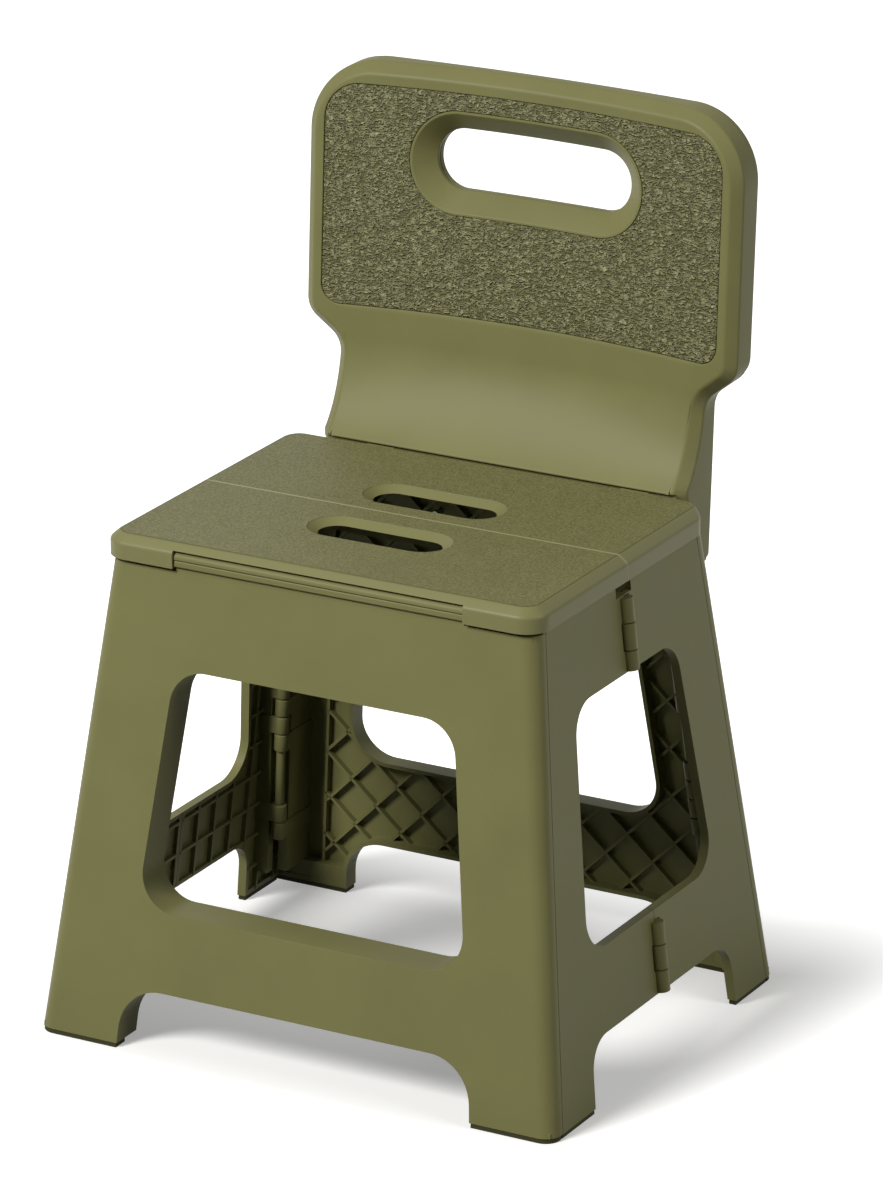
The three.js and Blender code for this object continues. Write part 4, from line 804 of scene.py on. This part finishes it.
# Painted light and shade: the ridges get the light colour and the hollows between them the dark one.
tone = node(tree, "ShaderNodeMix", {"Factor": ridge, "A": linear(pad_shaded_hollow), "B": linear(pad_lit_ridge)},
            data_type="RGBA").outputs[2]
shader = node(tree, "ShaderNodeBsdfPrincipled", {
    "Base Color": tone, "Roughness": pad_roughness, "IOR": plastic_ior, "Specular IOR Level": pad_sheen,
    "Normal": bump.outputs["Normal"]})
node(tree, "ShaderNodeOutputMaterial", {"Surface": shader.outputs[0]})
pad_edge = rounded([(0, 2.3, 0), (0, pad_stand, 0.6), (3, pad_stand, 0)])[:-1]
face_inset = pad_gap + pad_edge[-1][0]
face_start, face_end = pad_outline(face_inset), dish_outline(-dish_grow - face_inset)
rings = [bowed(pad_outline(pad_gap + inset), depth) for inset, depth in pad_edge]
rings += [bowed(outline, pad_stand)
          for outline in between(face_start, face_end, np.linspace(0, 1, pad_steps)[1:-1])]
rings += [bowed(dish_outline(-dish_grow - pad_gap - inset), depth) for inset, depth in pad_edge[::-1]]
pad = shaded(carried("backrest_pad_plate", rings, loop=True), shell_crease)
finish_piece(pad, pad_plastic, "back_frame", ["backrest_pad"])

# Backrest rear shell
# A shallow tray that closes the backrest from behind, drawn in a little at the parting line, with round
# recesses for six screws.
shell_screws = [(-112, 496), (112, 496), (-112, 400), (112, 400), (-100, 318), (100, 318)]  # across, up
screw_recess = 4.2
rear_inset, rear_parting, rear_ease = 1.0, 0.7, 0.3
rear_edge = rounded([(0, rear_shell_depth, 0), (0, 2.6, 1.6), (2.8, 0, 2), (6, 0, 0)])[1:-1]
rear_start = rear_shell_depth - rear_parting
rings = [flat_back(back_outline(rear_inset + rear_ease), rear_start),
         flat_back(back_outline(rear_inset), rear_start - rear_ease)]
rings += [flat_back(back_outline(rear_inset + inset), ahead) for inset, ahead in rear_edge]
rings += [flat_back(dish_outline(hole_inset - inset), ahead) for inset, ahead in rear_edge[::-1]]
rings += [flat_back(dish_outline(hole_inset), rear_start)]
rear_shell = carried("backrest_rear", rings, loop=True)
recesses = [barrel("recess", (x, rear_face(z) - rear_shell_depth + wall, z), (x, rear_face(z) + past, z),
                   screw_recess) for x, z in shell_screws]
shaded(settle(rear_shell, recesses, "DIFFERENCE"), shell_crease)
finish_piece(rear_shell, olive, "back_frame", ["backrest_rear_shell"])


# Folding sides
# Each side is two polypropylene mouldings with half a window and half a floor arch, a shallow flange round both and
# a square grid of ribs. They meet at knuckles that stand proud of the face, and hang on the corner hinges.
side_window = {-1: (67, 80, 232.5, 90, 20), 1: (55, 76, 232.5, 90, 20)}  # as window_sizes
side_arch = (84.5, 88, 41, 19)  # as arch_sizes
side_flange, side_rib_depth, side_rim = 5.6, 6, 3
side_rib_y, side_rib_z, shortest_rib, rib_margin = 20, 21, 4, 1
middle_gap, notch_half, notch_depth = 0.2, 9, 6.4


def seam(z):
    """The edge of a side next to the panel, by height."""
    return half_depth(z) - corner_return - gap


def side_strip(end, near, far, low, high):
    """An outline between two leaning or upright edges, given as functions of height, on one half of a side."""
    return np.array([(end * edge(z), z) for edge, z in ((near, low), (far, low), (far, high), (near, high))])


def side_half(hand, end):
    """The skin joined to its flanges and rims, then cut by the window, the arch, the notch and the room that
    the other half's knuckles need."""
    lay = on_side(hand)
    middle = lambda z: middle_gap
    zone = side_strip(end, middle, seam, sole_height, panel_top)
    skin = plate("side", zone, 0, wall, lay)
    rims = [side_strip(end, middle, seam, panel_top - side_rim, panel_top),
            side_strip(end, middle, seam, sole_height, sole_height + side_rim),
            side_strip(end, middle, lambda z: middle_gap + side_rim, sole_height, panel_top),
            side_strip(end, lambda z: seam(z) - side_rim, seam, sole_height, panel_top)]
    rims = [plate("rim", rim, wall - flange_root, side_flange, lay) for rim in rims]
    window_block, arch_block = flange_blocks(side_window[end], side_arch, side_flange, side_flange, lay)
    flange = settle(window_block, [arch_block], "UNION")
    settle(flange, [plate("zone", zone, 0, side_flange + past, lay)], "INTERSECT")
    settle(skin, [flange] + rims, "UNION")
    notch = box_outline(-notch_half, notch_half, panel_top - notch_depth, panel_top + past)
    cutters = opening_cutters(side_window[end], side_arch, side_flange, lay)
    cutters.append(plate("cut", notch, -past, side_flange + past, lay))
    for edges in middle_edges:
        cutters += [barrel("room", middle_line(low - knuckle_play, hand), middle_line(high + knuckle_play, hand),
                           middle_knuckle_radius + middle_knuckle_room) for low, high in every_other(edges, end == 1)]
    return settle(skin, cutters, "DIFFERENCE")


def side_inside(end, across, up):
    """True on one half of a side, off its window, its arch and its notch."""
    kept = off_opening(across, up, *side_window[end]) & off_opening(across, up, *arch_opening(*side_arch))
    kept &= ~((np.abs(across) < notch_half + rib_margin) & (up > panel_top - notch_depth - rib_margin))
    kept &= (end * across > middle_gap + rib_margin) & (end * across < seam(up) - rib_margin)
    return kept & (up > sole_height) & (up < panel_top - rib_margin)


def side_grid(hand, end):
    """Upright and level ribs, each kept in runs where the side's skin is behind them."""
    bars = []
    h = rib_wall / 2
    for is_level, pitch, reach, length in ((False, side_rib_y, base_half_depth, panel_top),
                                           (True, side_rib_z, panel_top, base_half_depth)):
        along = np.arange(0, length, rib_reading)
        for line in np.arange(pitch, reach, pitch):
            fixed = np.full_like(along, line)
            across, up = (end * along, fixed) if is_level else (end * fixed, along)
            for a, b in runs(side_inside(end, across, up)):
                if (b - a) * rib_reading < shortest_rib:
                    continue
                if is_level:
                    outline = box_outline(*sorted((across[a], across[b])), line - h, line + h)
                else:
                    outline = box_outline(across[a] - h, across[a] + h, up[a], up[b])
                bars.append(plate("rib", outline, wall - rib_root, side_rib_depth, on_side(hand)))
    return bars


for hand, hand_name in hands:
    for end, end_name in ends:
        side = f"{end_name}_{hand_name}"
        shell = finish_piece(soften(side_half(hand, end), edge_round), olive, f"side_{side}", [f"side_panel_{side}"])
        shell.name = f"side_shell_{side}"
        inner = side_grid(hand, end) + corner_barrels(hand, end, False)
        for edges in middle_edges:
            inner += [barrel("barrel", middle_line(low + knuckle_play, hand), middle_line(high - knuckle_play, hand),
                             middle_knuckle_radius) for low, high in every_other(edges, end == -1)]
        finish_piece(fused(f"side_ribs_{side}", inner), olive, f"side_{side}")

# Seat halves
# Two polypropylene trays that meet on a hinge line under the middle of the seat: a grained top inside a smooth
# rounded edge, a skirt, crossing ribs and, in each half, a finger slot with a sloped mouth.
seat_top, seat_half_width, seat_front, seat_back = 300, 140, 107, 101
seat_corner, rear_share = 15, 0.15  # the rear edge is rounded by this share of the others, so almost sharp
skirt_bottom, skirt_ease, seat_under, seat_wall = 284.8, 0.5, 296.2, 2.8
seat_round, seat_crease = 0.8, 17
# The seam's colour is a painted highlight along the edges at the seam.
seam_gap, seam_smooth, seam_highlight_colour = 0.12, 0.9, "#97946B"
seat_grain, seat_grain_depth, seat_patch, seat_patch_tone = 1.4, 0.6, 18, 0.2
# The grain's two colours paint shade into its hollows and light onto its pebbles' tops.
pebble_shaded_hollow, pebble_lit_top, grain_roughness, seat_sheen = "#504E28", "#828056", 0.55, 0.3
grain_inset, grain_rear = 6.4, 9  # the border's width; at the rear the grain runs on past the edge
# The groove's colour is painted shade in the groove.
grain_fade_out, grain_fade_in, groove_half, groove_shade_colour = 0.4, 0.2, 0.6, "#605E38"
pebble_low, pebble_high, pebble_tone = 0.3, 0.7, 0.9
fade_bottom, fade_top = 0.3, 0.1  # below the top face the grain fades out between these
seat_rib_bottom, seat_rib_x, seat_rib_y, seat_rib_first, seat_rib = 287.2, 28, 26, 58, 1.8
slot_places, slot_length, slot_width, slot_ease = {-1: -34, 1: 30}, 75, 20, 0.2
slot_wall, slot_clear = 2.4, 18  # ribs end at the wall, or this far from the slot's ends
front_pivot, end_knuckle = 102.5, 4.2
seat_clear = {-1: front_pivot - end_knuckle - gap, 1: back_pivot - end_knuckle - gap}
lug_inner, lug_bottom = 93, 285.6
tabs, tab_half, tab_top, tab_reach, tab_web = (-76.5, 90.8), 9, 299.4, 103.6, 2
centre_z, centre_radius, centre_edges = 279.5, {-1: 5.9, 1: 4.8}, (62, 78, 94, 110)
centre_room, centre_web = 2.3, 8
seat_edge = rounded([(0, 22, 0), (0, 4.9, 3), (5.6, 0, 3.4), (12, 0, 0)])[1:-1]  # inwards, down, radius
slot_mouth = rounded([(11, -1.2, 0), (7.5, 0, 0.9), (0, 4.6, 1.2), (0, 9, 0)])  # outwards, down, radius

# The top is spark-etched to a leather grain inside a smooth border, drawn a little coarser than the real one so
# that it shows, with painted shade in its hollows and painted light on its tops. The border is found from the
# distance to a rounded rectangle on Object coordinates; a shallow groove runs along it, painted darker as shade in
# it, and the edges at the seam stay smooth, painted lighter as a highlight along them.
seat_plastic = bpy.data.materials.new("etched_polypropylene")
tree = emptied(seat_plastic)
at = node(tree, "ShaderNodeTexCoord").outputs["Object"]
axes = node(tree, "ShaderNodeSeparateXYZ", {0: at}).outputs
middle = place((0, (seat_back + grain_rear - seat_front) / 2, seat_top)).tolist()
inner_x, inner_y = seat_half_width - seat_corner, (seat_back + grain_rear + seat_front) / 2 - seat_corner
reach = past_box(tree, middle, (inner_x * MM, inner_y * MM, 1.0))
edge = (seat_corner - grain_inset) * MM
grained = node(tree, "ShaderNodeMapRange", {
    "Value": reach, "From Min": edge - grain_fade_out * MM, "From Max": edge + grain_fade_in * MM, "To Min": 1.0,
    "To Max": 0.0}).outputs[0]
groove = node(tree, "ShaderNodeMath", {0: reach, 1: edge, 2: groove_half * MM}, operation="COMPARE").outputs[0]
upward = node(tree, "ShaderNodeMapRange", {"Value": axes["Z"], "From Min": (seat_top - fade_bottom) * MM,
                                           "From Max": (seat_top - fade_top) * MM}).outputs[0]
# A band along the seam that is left smooth, without grain, and given a painted highlight.
smooth_seam_highlight = node(tree, "ShaderNodeMath", {0: axes["Y"], 1: seam_y, 2: seam_smooth * MM},
                 operation="COMPARE").outputs[0]
amount = node(tree, "ShaderNodeMath", {0: grained, 1: upward}, operation="MULTIPLY").outputs[0]
amount = node(tree, "ShaderNodeMath", {0: amount, 1: smooth_seam_highlight}, operation="SUBTRACT", use_clamp=True).outputs[0]
line = node(tree, "ShaderNodeMath", {0: groove, 1: upward}, operation="MULTIPLY").outputs[0]
pebbles = node(tree, "ShaderNodeTexNoise", {"Vector": at, "Scale": 1 / (seat_grain * MM), "Detail": 3.0,
                                            "Roughness": 0.6, "Distortion": 0.4}).outputs["Fac"]
patches = node(tree, "ShaderNodeTexNoise", {"Vector": at, "Scale": 1 / (seat_patch * MM),
                                            "Detail": 2.0}).outputs["Fac"]
height = node(tree, "ShaderNodeMath", {0: pebbles, 1: amount}, operation="MULTIPLY").outputs[0]
height = node(tree, "ShaderNodeMath", {0: height, 1: line}, operation="SUBTRACT").outputs[0]
bump = node(tree, "ShaderNodeBump", {"Height": height, "Distance": seat_grain_depth * MM, "Strength": 1.0})
# The tone follows the pebbles' height, painting shade in the hollows and light on the tops, with random patches
# added.
shade = node(tree, "ShaderNodeMapRange", {"Value": pebbles, "From Min": pebble_low, "From Max": pebble_high,
                                          "To Max": pebble_tone}).outputs[0]
shade = node(tree, "ShaderNodeMath", {0: patches, 1: seat_patch_tone, 2: shade},
             operation="MULTIPLY_ADD").outputs[0]
tone = node(tree, "ShaderNodeMix", {"Factor": shade, "A": linear(pebble_shaded_hollow), "B": linear(pebble_lit_top)},
            data_type="RGBA").outputs[2]
tone = node(tree, "ShaderNodeMix", {"Factor": amount, "A": linear(olive_colour), "B": tone},
            data_type="RGBA").outputs[2]
# Painted shade in the groove, and a painted highlight along the seam.
for share, colour in ((line, groove_shade_colour), (smooth_seam_highlight, seam_highlight_colour)):
    tone = node(tree, "ShaderNodeMix", {"Factor": share, "A": tone, "B": linear(colour)},
                data_type="RGBA").outputs[2]
gloss = node(tree, "ShaderNodeMapRange", {"Value": amount, "To Min": olive_roughness,
                                          "To Max": grain_roughness}).outputs[0]
shader = node(tree, "ShaderNodeBsdfPrincipled", {
    "Base Color": tone, "Roughness": gloss, "IOR": plastic_ior, "Specular IOR Level": seat_sheen,
    "Normal": bump.outputs["Normal"]})
node(tree, "ShaderNodeOutputMaterial", {"Surface": shader.outputs[0]})


def level(outline, z):
    """An outline in x and y laid flat at a height."""
    return np.column_stack([outline, np.full(len(outline), z)])


def span(way, a, b):
    """Two places on one side of the middle, the lower first."""
    return sorted((way * a, way * b))


def seat_outline(inset):
    """The seat's outline drawn in, which keeps its rear edge almost sharp."""
    x, y0, y1, r = seat_half_width - inset, inset - seat_front, seat_back - inset * rear_share, seat_corner - inset
    return rounded([(-x, y0, r), (x, y0, r), (x, y1, r), (-x, y1, r)])


def slot_outline(grow, y):
    """A finger slot's outline with round ends, grown outwards, about its middle line."""
    x, h = slot_length / 2 + grow, slot_width / 2 + grow
    r = h - slot_ease
    return rounded([(-x, y - h, r), (x, y - h, r), (x, y + h, r), (-x, y + h, r)])


def seat_tray(end):
    """The rounded block cut to its half, hollowed, and opened at its slot and over the panel's barrels."""
    rings = [level(seat_outline(skirt_ease), skirt_bottom), level(seat_outline(0), skirt_bottom + skirt_ease)]
    rings += [level(seat_outline(inset), seat_top - drop) for inset, drop in seat_edge]
    tray = carried("seat", rings)
    wide, below, inner = seat_half_width + past, skirt_bottom - past, seat_half_width - seat_wall
    clear = seat_clear[end]
    half = span(end, seam_gap, seat_front + past)
    hollow = span(end, middle_gap + seat_wall, clear - seat_wall)
    settle(tray, [box(-wide, wide, *half, below, seat_top + past)], "INTERSECT")
    settle(tray, [box(-inner, inner, *hollow, below, seat_under)], "DIFFERENCE")
    y = slot_places[end]
    mouth = [level(slot_outline(grow, y), seat_top - drop) for grow, drop in slot_mouth[:-1]]
    cutters = [carried("slot", mouth + [level(slot_outline(0, y), below)])]
    outer = span(end, clear, seat_front + past)
    if end == -1:
        cutters.append(box(-lug_inner, lug_inner, *outer, below, seat_under))
        cutters += [box(*span(hand, lug_inner - overlap, wide), *outer, below, lug_bottom) for hand in (-1, 1)]
    else:
        cutters.append(box(-wide, wide, *outer, below, seat_under))
    room = centre_radius[-end] + centre_room
    for hand in (-1, 1):
        cutters += [barrel("room", (hand * a, 0, centre_z), (hand * b, 0, centre_z), room)
                    for a, b in every_other(centre_edges, end == 1)]
    return settle(tray, cutters, "DIFFERENCE")


def seat_insides(end):
    """Ribs, centre knuckles with their webs, and on the back half the two tabs of the rear hinge. The ribs from
    front to rear stop at the front half's slot and are left out at the other."""
    clear, inner = seat_clear[end], seat_half_width - seat_wall
    rib_top, h = seat_under + rib_root, seat_rib / 2
    low, high = span(end, middle_gap + seat_wall - rib_root, clear - seat_wall + rib_root)
    slot_reach = slot_length / 2 + slot_clear
    slot_low = slot_places[end] - slot_width / 2 - slot_wall + overlap
    made = []
    for x in np.arange(-math.floor(inner / seat_rib_x) * seat_rib_x, inner, seat_rib_x):
        spans = [(low, high)] if abs(x) > slot_reach else [(low, slot_low)] if end == -1 else []
        made += [box(x - h, x + h, a, b, seat_rib_bottom, rib_top) for a, b in spans]
    edge = inner + rib_root
    for y in end * np.arange(seat_rib_first, clear - seat_wall, seat_rib_y):
        spans = [(-edge, edge)] if end == -1 else [(-edge, -slot_reach), (slot_reach, edge)]
        made += [box(a, b, y - h, y + h, seat_rib_bottom, rib_top) for a, b in spans]
    for hand in (-1, 1):
        for inside, outside in every_other(centre_edges, end == -1):
            a, b = span(hand, inside + knuckle_play, outside - knuckle_play)
            made.append(barrel("barrel", (a, 0, centre_z), (b, 0, centre_z), centre_radius[end]))
            made.append(box(a, b, *span(end, middle_gap, centre_web), centre_z, seat_rib_bottom + overlap))
    if end == 1:
        for x in tabs:
            a, b = x - tab_half, x + tab_half
            made.append(barrel("tab", (a, back_pivot, end_pivot_z), (b, back_pivot, end_pivot_z), end_knuckle))
            made.append(box(a, b, clear - overlap, back_pivot, end_pivot_z - tab_web, seat_under + overlap))
            made.append(box(a, b, clear, tab_reach, end_pivot_z, tab_top))
    return made


for end, end_name in ends:
    tray = soften(seat_tray(end), seat_round, seat_crease)
    finish_piece(tray, seat_plastic, f"seat_{end_name}", [f"seat_{end_name}_half"])
    tray.name = f"seat_{end_name}_tray"
    finish_piece(fused(f"seat_{end_name}_ribs", seat_insides(end)), olive, f"seat_{end_name}")

# Seat rails
# The front panel ends in one long barrel between the seat's lugs, over a stepped and recessed face. The back panel
# ends in three short barrels on webs, with the seat's tabs between them.
rail_half, rail_web, web_skin = 92.4, 4, 0.3
rail_foot, rail_inner, rail_neck = 281, -99.4, 290  # its lowest edge, y of its inner face, height of its neck
rail_step = [(0, 284.9), (0.4, 285.4), (0.4, 286.3)]  # inwards from the panel's top edge, up
rail_recess = [(-105.3, 286.6), (-105.6, 287), (-105.6, 289.6),  # y, up
               (-105.2, 290.1), (-104.3, 290.1), (-104.3, 290.9)]
rail_radius, rail_turn, rail_steps = 3.2, 192, 14
tab_gap, outer_knuckle = 9.7, 13


def drawn_across(name, profile, x0, x1):
    """A profile (y, z) carried across the stool."""
    return carried(name, [[(x, y, z) for y, z in profile] for x in (x0, x1)])


t = np.radians(np.linspace(rail_turn, 0, rail_steps))
rail_round = np.column_stack([-front_pivot + rail_radius * np.cos(t), end_pivot_z + rail_radius * np.sin(t)])
rail_profile = [(rail_inner, rail_foot), (-top_half_depth, rail_foot)]
rail_profile += [(-top_half_depth + inwards, z) for inwards, z in rail_step] + rail_recess
rail_profile += list(rail_round) + [(rail_inner, rail_neck)]
rails = {-1: [drawn_across("rail", rail_profile, -rail_half, rail_half)], 1: []}
web_outer, web_foot = top_half_depth - web_skin, panel_top - wall
web_profile = [(back_pivot, end_pivot_z - end_knuckle / 2), (top_half_depth - rail_web, web_foot),
               (web_outer, web_foot), (web_outer, panel_top),
               (back_pivot + end_knuckle * math.sqrt(0.5), end_pivot_z)]
rail_edges = [x + way * tab_gap for x in tabs for way in (-1, 1)]
rail_edges = [rail_edges[0] - outer_knuckle, *rail_edges, rail_edges[-1] + outer_knuckle]
for a, b in every_other(rail_edges, True):
    rails[1].append(barrel("rail", (a, back_pivot, end_pivot_z), (b, back_pivot, end_pivot_z), end_knuckle))
    rails[1].append(drawn_across("web", web_profile, a, b))
for end, end_name in ends:
    finish_piece(fused(f"{end_name}_rail", rails[end]), olive, end_bodies[end])

# Soles
# Dark rubber pads set under the feet of the panels and the sides, drawn in a little from the plastic.
sole_thick, sole_inset, sole_short = 2.6, 0.6, 0.3
sole_rings = [(0, 1.0), (0.4, sole_inset), (sole_thick, sole_inset)]


def foot_pad(x_span, y_span):
    """The plan of the stool at the floor, cut to one foot."""
    rings = []
    for z, inset in sole_rings:
        x, y, r = half_width(z) - inset, half_depth(z) - inset, corner_radius - inset
        rings.append(level(rounded([(-x, -y, r), (x, -y, r), (x, y, r), (-x, y, r)]), z))
    return settle(carried("sole", rings), [box(*x_span, *y_span, -past, sole_thick + past)], "INTERSECT")


for hand, hand_name in hands:
    for end, end_name in ends:
        foot = f"{end_name}_{hand_name}"
        outer_x, outer_y = base_half_width + past, base_half_depth + past
        panel_foot = (span(hand, arch_foot_half + sole_inset, outer_x),
                      span(end, half_depth(0) - sole_depth + sole_short, outer_y))
        side_foot = (span(hand, half_width(0) - side_flange + sole_short, outer_x),
                     span(end, side_arch[1] + sole_inset, half_depth(0) - corner_return - gap * 2))
        for kind, spans, body in (("panel_foot", panel_foot, end_bodies[end]),
                                  ("side_foot", side_foot, f"side_{foot}")):
            sole = finish_piece(foot_pad(*spans), rubber, body, [f"{kind}_{foot}"])
            sole.name = f"{kind}_{foot}_sole"

# Steel pins
# Drawn wire pins with eased ends run through every row of barrels.
pin_radius, middle_pin_radius, pin_ease, pin_inset = 2, 1.5, 0.3, 0.6
corner_pin_foot, lug_pin_half, tab_pin_half = 44, 28.7, 22.4  # where corner pins begin, half lengths


def pin_across(name, x0, x1, y, z, body):
    """A level pin from one x to another, in the form that the loop below reads."""
    return name, (x0, y, z), (x1, y, z), pin_radius, body


pins = []
for hand, hand_name in hands:
    for end, end_name in ends:
        pins.append((f"corner_pin_{end_name}_{hand_name}", corner_line(corner_pin_foot + pin_inset, hand, end),
                     corner_line(corner_groups[-1][1] - pin_inset, hand, end), pin_radius, end_bodies[end]))
    for height, edges in zip(("upper", "lower"), middle_edges):
        pins.append((f"middle_pin_{height}_{hand_name}", middle_line(edges[0] + pin_inset, hand),
                     middle_line(edges[-1] - pin_inset, hand), middle_pin_radius, f"side_back_{hand_name}"))
    x = hand * lug_inner
    pins.append(pin_across(f"seat_pin_front_{hand_name}", x - lug_pin_half, x + lug_pin_half, -front_pivot,
                           end_pivot_z, "front_frame"))
    x = tabs[0] if hand == -1 else tabs[1]
    pins.append(pin_across(f"seat_pin_back_{hand_name}", x - tab_pin_half, x + tab_pin_half, back_pivot,
                           end_pivot_z, "back_frame"))
    pins.append(pin_across(f"seat_pin_centre_{hand_name}", hand * (centre_edges[0] + pin_inset),
                           hand * (centre_edges[-1] - pin_inset), 0, centre_z, "seat_back"))
for name, start, finish, radius, body in pins:
    wire = shaded(barrel(f"{name}_wire", start, finish, radius, pin_ease))
    finish_piece(wire, steel, body, [name])

# Screws and hidden solids
# The ten screws are shown as the CAD made them. Every CAD node gets the finish of its kind, so that none is left
# without a material.
for name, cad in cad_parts.items():
    finish = steel if "pin" in name or "screw" in name else rubber if "foot" in name else olive
    cad.data.materials.clear()
    cad.data.materials.append(finish)
